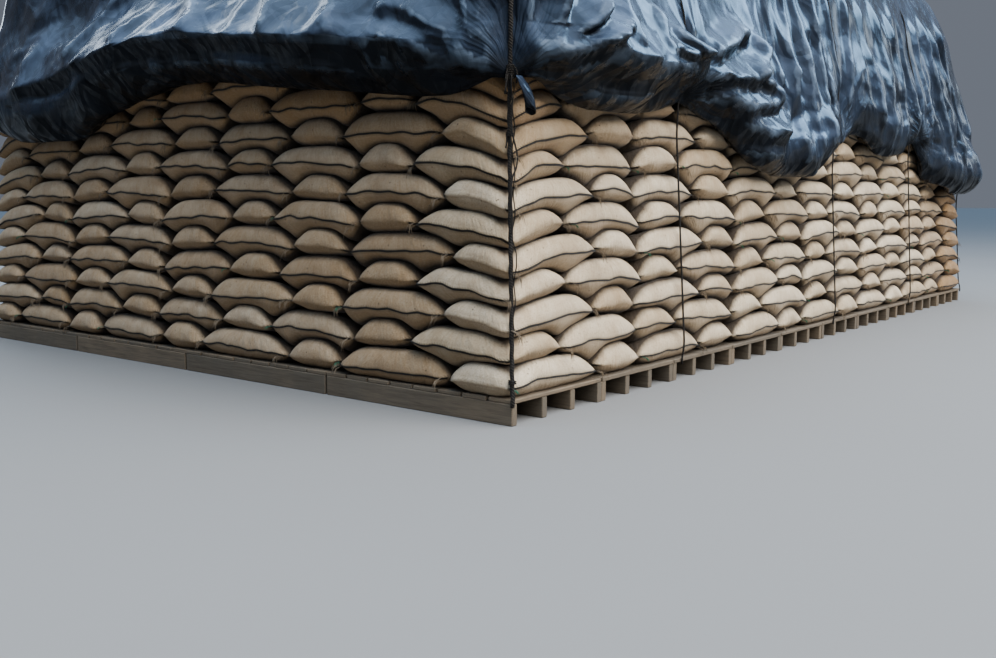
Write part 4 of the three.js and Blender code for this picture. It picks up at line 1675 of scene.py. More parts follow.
def along_keys(keys: Array, place: Array) -> Array:
    """Points on a smooth curve through keys, by Catmull-Rom weights.

    Args:
        keys: Points that the curve goes through, on the axis before the last.
        place: Places on the curve, counted in keys.

    Returns:
        The curve's points in the stead of the keys.
    """
    count = keys.shape[-2]
    i = np.clip(np.floor(place).astype(int), 0, count - 2)
    t = place - i
    weights = np.zeros((len(place), count))
    rows = np.arange(len(place))
    parts = (
        (-1, -0.5 * t + t**2 - 0.5 * t**3),
        (0, 1 - 2.5 * t**2 + 1.5 * t**3),
        (1, 0.5 * t + 2 * t**2 - 1.5 * t**3),
        (2, -0.5 * t**2 + 0.5 * t**3),
    )
    for shift, weight in parts:
        np.add.at(weights, (rows, np.clip(i + shift, 0, count - 1)), weight)
    return np.einsum("rk,...kd->...rd", weights, keys)


def ridged(turn: Array, round_off: Array) -> Array:
    """Crests from 0 to 1 at each half turn: one less the size of a sine, with its tip rounded off."""
    return 1 + round_off - np.hypot(np.sin(turn), round_off)


# Folds of the front: (height, left and right width) in mm, and the (distance, height) of their marks in cm.
FRONT_FOLDS = (
    ((165, 420, 95), ((10, 197), (45, 201), (85, 205), (120, 205), (155, 208), (198, 206))),
    ((50, 60, 45), ((2, 192), (40, 186), (80, 182), (120, 185))),
    ((45, 50, 40), ((12, 195), (50, 191), (92, 187), (135, 190))),
    ((50, 50, 40), ((55, 199), (92, 195), (130, 197), (162, 199))),
    ((120, 150, 60), ((142, 232), (164, 224), (182, 212), (196, 199))),
    ((70, 90, 50), ((130, 220), (155, 217), (180, 219))),
    ((95, 70, 50), ((6, 198), (28, 216), (62, 240))),
    ((70, 60, 45), ((8, 202), (20, 224), (36, 252))),
    ((80, 60, 45), ((12, 199), (42, 212), (78, 228))),
    ((170, 420, 850), ((48, 200), (54, 218), (50, 234), (62, 262), (80, 290))),
    ((45, 40, 40), ((10, 198), (24, 206), (42, 210), (50, 206))),
    ((50, 70, 120), ((95, 262), (82, 234), (78, 210))),
    ((55, 120, 70), ((142, 270), (135, 240), (122, 212))),
    ((120, 120, 100), ((206, 222), (235, 233), (267, 247), (290, 247))),
    ((120, 80, 110), ((290, 247), (305, 238), (292, 226), (265, 214))),
    ((100, 140, 85), ((197, 209), (237, 211), (280, 213), (311, 210), (335, 203))),
    ((85, 80, 110), ((333, 203), (309, 198), (263, 192), (215, 197))),
    ((75, 100, 85), ((245, 190), (267, 178), (299, 175), (335, 179), (350, 192), (362, 222))),
    ((40, 80, 80), ((220, 186), (255, 166), (295, 158), (330, 158))),
    ((70, 100, 70), ((340, 305), (338, 275), (344, 240), (346, 205))),
    ((60, 90, 70), ((374, 310), (370, 270), (362, 230), (350, 200))),
    ((85, 110, 80), ((414, 315), (416, 260), (410, 200), (400, 162))),
    ((70, 90, 70), ((440, 320), (442, 260), (446, 210), (444, 180))),
    ((55, 70, 60), ((466, 320), (472, 260), (480, 215))),
    ((45, 70, 60), ((392, 310), (390, 260), (386, 220), (384, 175))),
    ((35, 50, 50), ((360, 178), (366, 162), (368, 152))),
    ((35, 50, 50), ((386, 180), (388, 166), (386, 154))),
    ((35, 50, 50), ((422, 184), (420, 174), (414, 164))),
    ((60, 80, 70), ((516, 320), (512, 270), (506, 230), (498, 198))),
    ((70, 90, 70), ((555, 320), (555, 260), (562, 215), (568, 188))),
    ((60, 80, 70), ((595, 320), (600, 260), (602, 210), (598, 182))),
    ((70, 90, 70), ((635, 320), (642, 260), (644, 210), (636, 180))),
    ((60, 80, 70), ((675, 320), (682, 260), (692, 220), (700, 196))),
    ((70, 90, 70), ((730, 330), (734, 270), (740, 220), (746, 190))),
    ((70, 90, 70), ((770, 330), (778, 260), (792, 210), (802, 170))),
    ((60, 90, 70), ((810, 330), (822, 260), (842, 210), (852, 162))),
    ((60, 90, 70), ((855, 330), (868, 260), (886, 210), (894, 170))),
)
# Folds of the near wall, in the same way.
NEAR_FOLDS = (
    ((50, 80, 100), ((604, 202), (584, 216), (556, 230), (520, 240))),
    ((45, 60, 80), ((604, 199), (572, 208), (530, 220))),
    ((40, 60, 70), ((604, 197), (560, 202), (515, 206))),
    ((45, 70, 90), ((604, 206), (594, 226), (580, 260))),
    ((70, 160, 60), ((510, 216), (496, 238), (484, 280))),
    ((80, 60, 160), ((450, 223), (434, 250), (405, 285))),
    ((90, 180, 50), ((366, 233), (350, 256), (316, 286))),
    ((80, 60, 200), ((262, 236), (284, 260), (292, 290))),
    ((80, 160, 80), ((190, 226), (205, 255), (230, 290))),
    ((120, 100, 400), ((605, 200), (585, 210), (540, 213), (470, 221), (385, 232), (290, 236), (160, 220),
                       (60, 210))),
    ((50, 70, 100), ((602, 193), (550, 198), (430, 208), (380, 217), (260, 218), (140, 202))),
)


@dataclass
class CoverSheet:
    """The black polythene cover: one sheet over the domed top, gathered at the ropes and hanging in bags.

    A spacing is a run along a wall and its number of columns, and a run of rows is counted in the plan's
    keys. A wall's pleat amount is the least one, what is added, and the distances between which it sets in.
    """

    plan: CoverPlan = field(default_factory=CoverPlan)
    thickness: float = 0.006
    rope_press: float = 0.07
    samples: int = 3
    combing: int = 5
    overhung: tuple = (0, 1.95)
    overhang: tuple = (1.95, 2.34)
    folds: tuple = Fold.rows(0, FRONT_FOLDS) + Fold.rows(3, NEAR_FOLDS)
    spacings: tuple = (
        ((0.095, 1.2, 92), (1.2, 3.7, 172), (3.7, 5.2, 66), (5.2, 9.12, 110)),
        ((0.095, 6.046, 84),),
        ((0.095, 9.12, 152),),
        ((0.095, 3.0, 46), (3.0, 5.0, 58), (5.0, 6.046, 64)),
    )
    corner_steps: int = 8
    pleat_amounts: tuple = (
        (0.25, 0.75, 3.1, 3.6), (1.25, 0.0, 0.0, 1.0), (1.25, 0.0, 0.0, 1.0), (0.55, -0.40, 3.0, 4.0),
    )
    row_runs: tuple = ((0.0, 4.0, 15), (4.0, 7.0, 44), (7.0, 9.0, 17), (9.0, 14.0, 12))
    crest_gain: float = 8.0
    give: float = 0.012
    strip_top: float = 1.915
    strip_length: float = 0.185
    strip_grid: tuple = (10, 5, 16)

    def gathers(self) -> list[tuple[int, float, float]]:
        """Places where a rope draws the cover together: wall, distance along it, and height.

        Returns:
            The places, in the order of the walls.
        """
        places = []
        for wall, marks in enumerate(self.plan.rope_marks):
            places += [(wall, mark, layer_top(self.plan.hem_layers(wall, mark)) + 0.03) for mark in marks]
            hem, bag = self.plan.hem_corners[wall]
            if bag < 0.1:
                before, height = (wall + 3) % 4, layer_top(hem) + 0.03
                places += [(wall, -0.02, height), (before, self.plan.wall_length(before) + 0.02, height)]
        return places

    @staticmethod
    def starburst(place: tuple, number: int, distance: Array, height: Array) -> Array:
        """Creases that spread from a gather like rays: a crisp wave of the angle, fading with the distance.

        Args:
            place: Wall, distance and height of the gather.
            number: Number that picks the wave.
            distance: Distances along the wall.
            height: Heights.

        Returns:
            The lift at each place, in metres.
        """
        dx, dz = distance - place[1], height - place[2]
        reach, angle = np.hypot(dx, dz), np.arctan2(dz, dx)
        spot = np.stack([angle * 1.2, reach * 1.1, np.full_like(reach, number)], axis=-1)
        turn = angle * 8.5 + 2.2 * ripple(spot, 1.6, 40 + number)
        round_off = 0.14 / np.maximum(reach, 0.10)
        crests = 0.060 * ridged(turn, round_off) + 0.034 * ridged(turn * 2.3 + 1.0, 2 * round_off)
        fade = smooth_step(0.03, 0.16, reach) * np.exp(-reach / 0.42)
        return crests * fade * smooth_step(-0.10, 0.02, dz)

    def pleats(self, wall: int, distance: Array, height: Array) -> Array:
        """Lift of the long folds down a wall: crisp waves along it that wander slowly with the height.

        Args:
            wall: Number of the wall.
            distance: Distances along the wall.
            height: Heights.

        Returns:
            The lift at each place, in metres.
        """
        spot = np.stack([distance, 0.35 * height, np.full_like(height, 3.0 * wall)], axis=-1)
        wander = distance + 0.10 * ripple(spot, 0.9, 50 + wall)
        place = np.stack([wander, 0.16 * height], axis=-1)
        slanted = np.stack([wander + 0.10 * height, 0.20 * height], axis=-1)
        broad = np.maximum(facets(place, 0.34, 50 + wall), facets(slanted, 0.27, 60 + wall))
        narrow = np.maximum(facets(slanted, 0.12, 70 + wall), facets(place, 0.15, 80 + wall))
        strength = 0.75 + 0.35 * ripple(spot, 1.1, 70 + wall)
        least, more, start, end = self.pleat_amounts[wall]
        amount = least + more * smooth_step(start, end, distance)
        return (0.075 * broad + 0.030 * narrow) * strength * smooth_step(3.4, 2.5, height) * amount

    def press(self, columns: CoverColumns, height: Array) -> Array:
        """How free the film is at each point: 0 under a rope and at a knotted corner, 1 elsewhere.

        Args:
            columns: The grid's columns.
            height: Heights of the points, by column and row.

        Returns:
            A number from 0 to 1 for each point.
        """
        free = np.ones(height.shape)
        for wall, marks in enumerate(self.plan.rope_marks):
            on_wall = (columns.wall == wall) & ~columns.at_corner
            for mark in marks:
                away = np.abs(columns.distance[on_wall] - mark)[:, None]
                held = 1 - smooth_step(0.012, self.rope_press, away)
                if (wall, mark) == self.overhung:
                    (low, high), tall = self.overhang, height[on_wall]
                    over = smooth_step(low, low + 0.06, tall) * smooth_step(high, high - 0.20, tall)
                    held = held * (1 - over)
                free[on_wall] *= 1 - held
        off_rope = smooth_step(0.08, 0.45, np.abs(columns.turn - 0.5))
        free[columns.at_corner] *= off_rope[columns.at_corner][:, None]
        return free

    @staticmethod
    def crumple(base: Array) -> Array:
        """Lift of flat facets with crisp creases between them, in three sizes, on the sheet's smooth face.

        Args:
            base: The smooth face, by column and row.

        Returns:
            The lift at each point, in metres.
        """
        run = run_along(base[:, 0, :2])[:, None]
        place = np.stack(np.broadcast_arrays(run, 0.62 * base[..., 2]), axis=-1)
        place = place + 0.10 * np.stack([ripple(base, 0.8, 81), ripple(base, 0.8, 82)], axis=-1)
        turned = place @ np.array([(0.82, 0.57), (-0.57, 0.82)])
        broad = np.maximum(facets(place, 0.52, 91), facets(turned, 0.44, 92)) - 0.33
        middle = np.maximum(facets(turned, 0.23, 93), facets(place, 0.19, 94)) - 0.33
        return 0.085 * broad + 0.038 * middle + 0.013 * facets(place, 0.085, 95)

    def relief(self, wall: int, distance: Array, height: Array) -> Array:
        """How far the pleats, folds and rays of a wall stand out at distances along it and heights.

        Args:
            wall: Number of the wall.
            distance: Distances along the wall.
            height: Heights.

        Returns:
            The lift at each place, in metres.
        """
        total = self.pleats(wall, distance, height)
        for fold in self.folds:
            if fold.wall == wall:
                total = total + fold.lift(distance, height)
        for number, gather in enumerate(self.gathers()):
            if gather[0] == wall:
                total = total + self.starburst(gather, number, distance, height)
        return total

    def sampled_relief(self, walls: Array, distances: Array, height: Array) -> Array:
        """The relief of the points: the mean of a few samples round each, so that no fold is cut to stairs.

        Args:
            walls: Number of each column's wall.
            distances: Each column's distance along it.
            height: Heights of the points, by column and row.

        Returns:
            The lift at each point, in metres.
        """
        total = np.zeros(height.shape)
        shifts = np.arange(self.samples) - 0.5 * (self.samples - 1)
        for wall in range(4):
            on_wall = walls == wall
            tall = height[on_wall]
            place = np.broadcast_to(distances[on_wall][:, None], tall.shape)
            sideways = np.abs(np.gradient(place, axis=0)) / self.samples
            upwards = np.abs(np.gradient(tall, axis=1)) / self.samples
            for across in shifts:
                for up in shifts:
                    total[on_wall] += self.relief(wall, place + across * sideways, tall + up * upwards)
        return total / self.samples**2

    def calm(self, walls: Array, distances: Array, height: Array) -> Array:
        """How far from the gathers each point is: 0 at one, where only its rays crease the film, to 1.

        Args:
            walls: Number of each column's wall.
            distances: Each column's distance along it.
            height: Heights of the points, by column and row.

        Returns:
            A number from 0 to 1 for each point.
        """
        total = np.ones(height.shape)
        for wall, distance, level in self.gathers():
            on_wall = walls == wall
            reach = np.hypot(distances[on_wall][:, None] - distance, height[on_wall] - level)
            total[on_wall] = np.minimum(total[on_wall], smooth_step(0.05, 0.60, reach))
        return total

    def lift(self, columns: CoverColumns, base: Array, rows: Array) -> Array:
        """How far the folds, pleats and creases stand out from the plan's smooth face.

        Args:
            columns: The grid's columns.
            base: The smooth face, by column and row.
            rows: Places of the rows, counted in keys.

        Returns:
            The lift at each point, in metres.
        """
        height = base[..., 2]
        place = (*columns.unrolled(self.plan), height)
        bag = np.clip(columns.bag / 0.2, 0.30, 1)[:, None]
        total = self.sampled_relief(*place) + self.crumple(base) * bag * self.calm(*place)
        total = total * smooth_step(3.9, 3.0, height)
        deepest = -0.004 - (0.008 + 0.26 * columns.bag)[:, None] * smooth_step(2.60, 2.10, height)
        total = deepest + self.give * np.logaddexp(0, (total - deepest) / self.give)
        over = smooth_step(2.9, 3.6, height) * smooth_step(13.6, 11.5, rows)
        total += 0.012 * (ripple(base, 0.5, 23) + 0.6 * ripple(base, 0.2, 24) + 1.0) * over
        total *= self.press(columns, height)
        return self.combed(blurred(blurred(total, 0.2), 0.2, upward=True), base)

    def combed(self, lift: Array, base: Array) -> Array:
        """Smooths the lift along the wall where a fold runs along it, so its edge is no stair.

        Args:
            lift: The lift at each point.
            base: The smooth face, by column and row.

        Returns:
            The smoothed lift.
        """
        wide = np.linalg.norm(beside(base), axis=-1)
        tall = np.linalg.norm(np.gradient(base, axis=1), axis=-1)
        along = beside(lift) / np.maximum(wide, 1e-3)
        upward = np.gradient(lift, axis=1) / np.maximum(tall, 1e-3)
        for _ in range(4):
            along, upward = blurred(along, 0.25), blurred(upward, 0.25)
        share = smooth_step(1.2, 2.6, np.abs(upward) / (np.abs(along) + 0.15))
        for _ in range(self.combing):
            lift = lift + share * (blurred(lift, 0.25) - lift)
        return lift

    def crests(self, outer: Array, lift: Array) -> Array:
        """How sharp the crests are: how far a point stands out from its neighbours, by their spacing.

        Args:
            outer: The outer face, by column and row.
            lift: The lift at each point.

        Returns:
            A number from 0 to 1 for each point.
        """
        soft = lift
        for _ in range(2):
            soft = blurred(blurred(soft, 0.25), 0.25, upward=True)
        spacing = np.linalg.norm(beside(outer), axis=-1) * 0.5
        sharp = blurred((lift - soft) / np.maximum(spacing, 0.012) * self.crest_gain, 0.25)
        return np.clip(sharp, 0, 1) * smooth_step(3.2, 2.6, outer[..., 2])

    def faces(self) -> tuple[Array, Array, Array, Array]:
        """The outer face and the inner one, which has half as many columns and rows.

        The inner face takes the lowest lift round each of its points, so it stays behind the outer one.

        Returns:
            The two faces, by column and row, and the crests and the lift of the outer one.
        """
        columns = CoverColumns.spread(self.plan, self.spacings, self.corner_steps)
        top = self.row_runs[-1][1]
        rows = np.concatenate([np.linspace(a, b, count, endpoint=b == top) for a, b, count in self.row_runs])
        base = along_keys(self.plan.keys(columns), rows)
        _, out = self.plan.face(columns)
        lift = self.lift(columns, base, rows)
        over = smooth_step(2.9, 3.6, base[..., 2])
        way = np.concatenate([out[:, None, :] * (1 - over)[..., None], over[..., None]], axis=-1)
        low = lift
        for _ in range(2):
            low = np.minimum(np.minimum(np.roll(low, 1, axis=0), np.roll(low, -1, axis=0)), low)
            padded = np.pad(low, ((0, 0), (1, 1)), mode="edge")
            low = np.minimum(np.minimum(padded[:, :-2], padded[:, 2:]), low)
        outer = base + way * lift[..., None]
        inner = (base + way * low[..., None] - self.normals(base) * self.thickness)[::2]
        last = inner.shape[1] - 1
        return outer, inner[:, [*range(1, last, 2), last]], self.crests(outer, lift), lift

    def add_strip(self, shell: Shell) -> None:
        """Adds the end of film that hangs out of the knot at the near front corner: a flattened open tube.

        Its rings run down the outside, round the rim and back up the inside to a closed end.

        Args:
            shell: The cover's shell.
        """
        outside, inside, sides = self.strip_grid
        down = np.concatenate([np.linspace(0, 1, outside), np.linspace(1.0, 0.55, inside)])
        wall = np.concatenate([np.zeros(outside), np.full(inside, 0.004)])
        angle = np.arange(sides) / sides * 2 * math.pi
        width = (0.026 + 0.014 * smooth_step(0.0, 0.3, down) - wall)[:, None]
        depth = (0.009 + 0.012 * down - wall)[:, None]
        flat_cos = np.sign(np.cos(angle)) * np.abs(np.cos(angle)) ** 0.7
        fold = 0.35 * np.abs(np.cos(angle - 0.9))[None, :] - 0.2
        across = width * flat_cos + (0.030 + 0.078 * down)[:, None]
        away = depth * (np.sin(angle) + fold) + (0.030 + 0.030 * np.sin(math.pi * 0.8 * down))[:, None]
        length = self.strip_length * (1 + 0.10 * np.cos(angle + 0.6)[None, :] * (down[:, None] > 0.9))
        corner = np.array([-SIZES.half_length, -SIZES.half_width]) + self.plan.sheet_plane - 0.02
        fall = self.strip_top - down[:, None] * length
        points = np.stack([corner[0] + across, corner[1] - away, fall], axis=-1)
        # the rim carries the film's painted crest highlight
        rim = np.zeros(points.shape[:2])
        rim[outside - 1] = 1.0
        shell.add_rings(points, flip=True, Crest=np.append(rim, [0.0, 0.0]))

    @staticmethod
    def normals(points: Array) -> Array:
        """Outward directions of a grid by column and row, from the differences of its neighbours."""
        normal = np.cross(beside(points), np.gradient(points, axis=1))
        return normal / np.maximum(np.linalg.norm(normal, axis=-1, keepdims=True), 1e-9)

    @staticmethod
    def widening(coarse: int, fine: int, count: int) -> Array:
        """Faces between a ring and the next one, which has twice as many points.

        Args:
            coarse: Number of the first ring's first point.
            fine: Number of the second ring's first point.
            count: Number of points in the first ring.

        Returns:
            Three faces for each point of the first ring.
        """
        i = np.arange(count)
        here, after = coarse + i, coarse + (i + 1) % count
        a, b, c = fine + 2 * i, fine + 2 * i + 1, fine + (2 * i + 2) % (2 * count)
        faces = [np.stack(f, axis=-1) for f in ((here, b, a), (here, after, b), (after, c, b))]
        return np.concatenate(faces)

    def build(self, film: bpy.types.Material) -> None:
        """Builds the cover as a closed thin shell in the finish of the polythene.

        Args:
            film: Its finish.
        """
        outer, inner, crests, lift = self.faces()
        fine, coarse = outer.shape[0], inner.shape[0]
        inside, outside = inner[:, ::-1].transpose(1, 0, 2), outer.transpose(1, 0, 2)
        first = inside.shape[0] * coarse
        last = first + (outside.shape[0] - 1) * fine
        triangles = [
            creased(grid_quads(outside.shape[0], fine), lift.T.ravel()) + first,
            self.widening(first - coarse, first, coarse),
            fan_triangles(np.arange(coarse), last + fine, flip=True),
            fan_triangles(np.arange(fine) + last, last + fine + 1, flip=False),
        ]
        poles = [inside[0].mean(axis=0, keepdims=True), outside[-1].mean(axis=0, keepdims=True)]
        points = np.concatenate([inside.reshape(-1, 3), outside.reshape(-1, 3), *poles])
        # the crests drive the film's painted highlight
        crest = np.concatenate([np.zeros(inside.size // 3), crests.T.ravel(), [0.0, 0.0]])
        shell = Shell()
        quads = grid_quads(inside.shape[0], coarse)
        shell.add(points, quads, np.concatenate(triangles), Crest=crest)
        self.add_strip(shell)
        piece = shell.dress("black_cover", film, "black_polythene", "cover_sheet")


def rounded(points: Array, reach: float, step: float) -> Array:
    """A route with its corners rounded by parabolas, cut into even steps.

    Args:
        points: The corners of the route.
        reach: How far from a corner its rounding starts.
        step: Length of a step.

    Returns:
        Points along the route, its two ends among them.
    """
    pieces = [points[:1]]
    t = np.linspace(0, 1, 7)[:, None]
    for before, corner, after in zip(points[:-2], points[1:-1], points[2:]):
        back, on = before - corner, after - corner
        size = min(reach, 0.45 * np.linalg.norm(back), 0.45 * np.linalg.norm(on))
        start = corner + back / np.linalg.norm(back) * size
        end = corner + on / np.linalg.norm(on) * size
        pieces.append((1 - t) ** 2 * start + 2 * t * (1 - t) * corner + t**2 * end)
    dense = np.concatenate([*pieces, points[-1:]])
    run = run_along(dense)
    wanted = np.linspace(0, run[-1], max(int(run[-1] / step), 4) + 1)
    return np.stack([np.interp(wanted, run, dense[:, k]) for k in range(3)], axis=1)


@dataclass
class RopeBody:
    """A rope's round body along a path: its sides, and how deep the strands' grooves are cut into it."""

    radius: float
    sides: int = 8
    lobes: int = 0
    groove: float = 0.0
    lay: float = 0.30

    def add_to(self, shell: Shell, path: Array) -> None:
        """Adds the rope: circles across the path, turned the least from one to the next, and closed ends.

        Args:
            shell: The shell that gets it.
            path: The centres of its circles.
        """
        ways = np.gradient(path, axis=0)
        ways /= np.linalg.norm(ways, axis=1, keepdims=True)
        last = np.eye(3)[0 if abs(ways[0, 0]) < 0.8 else 1]
        side = np.zeros_like(path)
        for i, way in enumerate(ways):
            last = last - way * (last @ way)
            last = last / np.linalg.norm(last)
            side[i] = last
        other, run = np.cross(ways, side), run_along(path)
        angle = np.arange(self.sides) / self.sides * 2 * math.pi
        radius = np.full((len(path), self.sides), self.radius)
        if self.lobes:
            turn = self.lobes * (angle[None, :] - run[:, None] / self.lay * 2 * math.pi)
            radius -= self.groove * (1 - np.abs(np.cos(0.5 * turn)))
        offset = side[:, None] * np.cos(angle)[None, :, None] + other[:, None] * np.sin(angle)[None, :, None]
        cloth = np.stack(np.broadcast_arrays((angle / (2 * math.pi))[None, :], run[:, None]), axis=-1)
        cloth = np.concatenate([cloth.reshape(-1, 2), [[0.0, 0.0], [0.0, run[-1]]]])
        shell.add_rings(path[:, None] + offset * radius[..., None], cloth, path[[0, -1]])


@dataclass
class Ropework:
    """The ropes that hold the cover down: three lashings, four corner ropes, a loose tail, and their knots.

    A lashing is given by its distances along the front and back walls, and a part of the near corner's knot
    by its height and its number of turns. The tail's route is in millimetres: along X, out, and up.
    """

    rope: bpy.types.Material
    plan: CoverPlan = field(default_factory=CoverPlan)
    lashing_radius: float = 0.007
    bundle_radius: float = 0.014
    tail_radius: float = 0.005
    knot_radius: float = 0.0048
    strand_radius: float = 0.0035
    clearance: float = 0.002
    rest: float = 0.0004
    end_height: float = 0.112
    rounding: float = 0.05
    step: float = 0.03
    bundle_step: float = 0.02
    tail_rounding: float = 0.03
    tail_step: float = 0.012
    knot_ends: int = 3
    knot_run: float = 0.070
    knot_share: float = 0.6
    knot_turns: tuple = ((0.005, 4), (0.055, 3), (-0.30, 2))
    foot_turns: tuple = (0.245, 2)
    corners: tuple = ("near_front", "far_front", "far_back", "near_back")
    lashings: tuple = ((1.95, 7.265), (4.85, 4.365), (7.10, 2.115))
    tail_route: tuple = (
        (0, 37.8, 1905), (6, 35.4, 1870), (12, 32, 1810), (12, 30, 1740), (8, 28, 1670), (14, 28, 1610),
        (34, 30, 1560), (54, 34, 1510), (58, 36, 1460), (42, 34, 1415), (18, 30, 1385), (2, 28, 1340),
        (-4, 28, 1280), (0, 28, 1210), (6, 30, 1140), (4, 32, 1070),
    )

    def up_wall(self, wall: int, distance: float | None, radius: float) -> Array:
        """A rope's route from the crates up one wall and over the cover to the ridge.

        Args:
            wall: Number of the wall.
            distance: Distance along it, or None for the corner before it.
            radius: Radius of the rope.

        Returns:
            The corners of the route.
        """
        column = CoverColumns.single(self.plan, wall, distance)
        corner = distance is None
        corner_radius = 0.0 if corner else self.plan.sheet_corner
        cut = SIZES.corner_cut * math.sqrt(2) if corner else 0.0
        lowest = SIZES.deck_top + SIZES.crown_height
        top = math.floor(float(column.hem[0]) + 1e-6) - 1
        points = []
        for height, inset, back in (
            (self.end_height, SIZES.overhang, 0.0), (SIZES.deck_top + radius, SIZES.overhang, 0.0),
            (lowest, 0.0, cut), (lowest + top * SIZES.layer_height, SIZES.batter * top, cut),
        ):
            place, out = self.plan.ring(column, inset, inset, corner_radius)
            points.append((*(place[0] + out[0] * (radius + self.rest - back)), height))
        away = radius + self.clearance
        plane, out = self.plan.face(column)
        for height, stand_off in self.plan.wall_marks(column):
            points.append((*(plane[0] + out[0] * (float(stand_off[0]) + away)), float(height[0])))
        grow = self.plan.sheet_rest + self.plan.sheet_thickness + away
        for height, inset_x, inset_y, corner_radius in self.plan.dome:
            place, out = self.plan.ring(column, inset_x, inset_y, corner_radius)
            points.append((*(place[0] + out[0] * grow), height + grow))
        return np.array(points)

    def lay(self, number: int | None, kind: str, node: str, body: RopeBody, path: Array,
            loose: bool = False) -> None:
        """Builds a rope, and the corner knot if the rope is laid up from strands.

        Args:
            number: Its number among its kind, or None for the only one.
            kind: Name of its kind.
            node: The model's node that it replaces.
            body: Its round body.
            path: The centres of its circles.
            loose: Not used.
        """
        shell = Shell()
        body.add_to(shell, path)
        piece = shell.dress(kind if number is None else f"{kind}_{number}", self.rope, "rope", node)
        extras = [self.build_corner_knot(path)] if body.lobes else []
        2 * body.radius

    def knot(self, centre: Array, way: Array, turns: int) -> list[Array]:
        """The paths of a knot: a few turns round the bundle, and the ends that hang out of them.

        The turns are a helix round the bundle, and an end goes out and then down, with a sway.

        Args:
            centre: Middle of the knot.
            way: Direction of the bundle through it.
            turns: Number of turns.

        Returns:
            The paths.
        """
        cord = self.knot_radius
        way = way / np.linalg.norm(way)
        side = np.cross(way, [0.3, 0.5, 0.8])
        side /= np.linalg.norm(side)
        other = np.cross(way, side)
        t = np.linspace(0, 1, turns * 12 + 1)[:, None]
        angle = t * turns * 2 * math.pi
        reach = self.bundle_radius + cord * 1.05 + 0.002 * np.sin(3 * angle)
        rise = (t - 0.5) * turns * cord * 2.3
        wraps = centre + side * np.cos(angle) * reach + other * np.sin(angle) * reach + way * rise
        rng = np.random.default_rng(int(round(centre[2] * 1000)))
        paths = [wraps]
        t = np.linspace(0, 1, 9)[:, None]
        for _ in range(self.knot_ends):
            lean, length = rng.uniform(-1.0, 1.0), rng.uniform(0.025, 0.13)
            out = np.array([-0.7, -0.7, 0.0]) * rng.uniform(0.4, 1.0) + np.array([0.7, -0.7, 0.0]) * lean
            bend = 0.012 * np.sin(t * rng.uniform(2.0, 5.0) + rng.uniform(0, 6))
            away = self.bundle_radius + 0.003 + 0.20 * length * t ** 0.6 + bend * t
            paths.append(centre + out * away + np.array([0.0, 0.0, -1.0]) * length * (t ** 1.6 - 0.15 * t))
        return paths

    def build_corner_knot(self, path: Array) -> bpy.types.Object:
        """Builds the knot that gathers the cover at the near front corner, with a loose strand below it.

        Args:
            path: The path of the corner's bundle.

        Returns:
            The piece.
        """
        hem = layer_top(self.plan.hem_corners[0][0])
        shell = Shell()
        for height, turns in [(hem + over, turns) for over, turns in self.knot_turns] + [self.foot_turns]:
            i = int(np.argmin(np.abs(path[: len(path) // 2, 2] - height)))
            paths = self.knot(path[i], path[i + 1] - path[i - 1], turns)
            for part in paths if height > 1 else paths[:1]:
                RopeBody(self.knot_radius, sides=7).add_to(shell, part)
        on_wall = path[(path[:, 2] > 0.5) & (path[:, 2] < hem - 0.02)]
        on_wall = on_wall[: int(np.argmax(on_wall[:, 2])) + 1]
        out, across = (np.array([x, -1.0, 0.0]) / math.sqrt(2) for x in (-1.0, 1.0))
        sway = ripple(on_wall[:, 2:3], 0.35, 61)[:, None]
        strand = on_wall + across * (0.020 + 0.010 * sway) + out * (0.006 + 0.004 * sway)
        RopeBody(self.strand_radius, sides=6).add_to(shell, strand)
        return shell.dress("corner_knot", self.rope, "rope")

    def build(self) -> None:
        """Builds the lashings from the front crates to the back ones, the corner ropes, and the tail."""
        single = RopeBody(self.lashing_radius)
        bundle = RopeBody(self.bundle_radius, sides=15, lobes=3, groove=0.0055, lay=0.28)
        for number, (front, back) in enumerate(self.lashings, 1):
            up = self.up_wall(Side.FRONT.value, front, single.radius)
            down = self.up_wall(Side.BACK.value, back, single.radius)[::-1]
            path = rounded(np.concatenate([up, down]), self.rounding, self.step)
            self.lay(number, "lashing_rope", f"lashing_{number}", single, path)
        for wall, name in enumerate(self.corners):
            body = bundle if wall == 0 else single
            route = self.up_wall(wall, None, body.radius)
            lashing = self.lashings[0 if wall in (0, 3) else 2][0] - SIZES.half_length
            side = math.copysign(1.0, route[-1, 0] - lashing)
            ends = [(lashing + side * reach, route[-1, 1] * self.knot_share, route[-1, 2])
                    for reach in (self.knot_run, self.lashing_radius + self.rest)]
            step = self.bundle_step if wall == 0 else self.step
            path = rounded(np.concatenate([route, ends]), self.rounding, step)
            self.lay(wall + 1, "corner_rope", f"corner_rope_{name}", body, path)
        along, out, up = np.array(self.tail_route, float).T / 1000.0
        inset = (up - SIZES.deck_top - SIZES.crown_height) / SIZES.layer_height * SIZES.batter
        reach = (2 * self.bundle_radius + self.tail_radius + out) * math.sqrt(0.5) - SIZES.corner_cut - inset
        corners = np.stack([-SIZES.half_length - reach + along, -SIZES.half_width - reach, up], axis=1)
        path = rounded(corners, self.tail_rounding, self.tail_step)
        self.lay(None, "corner_tail", "corner_rope_tail", RopeBody(self.tail_radius), path, loose=True)


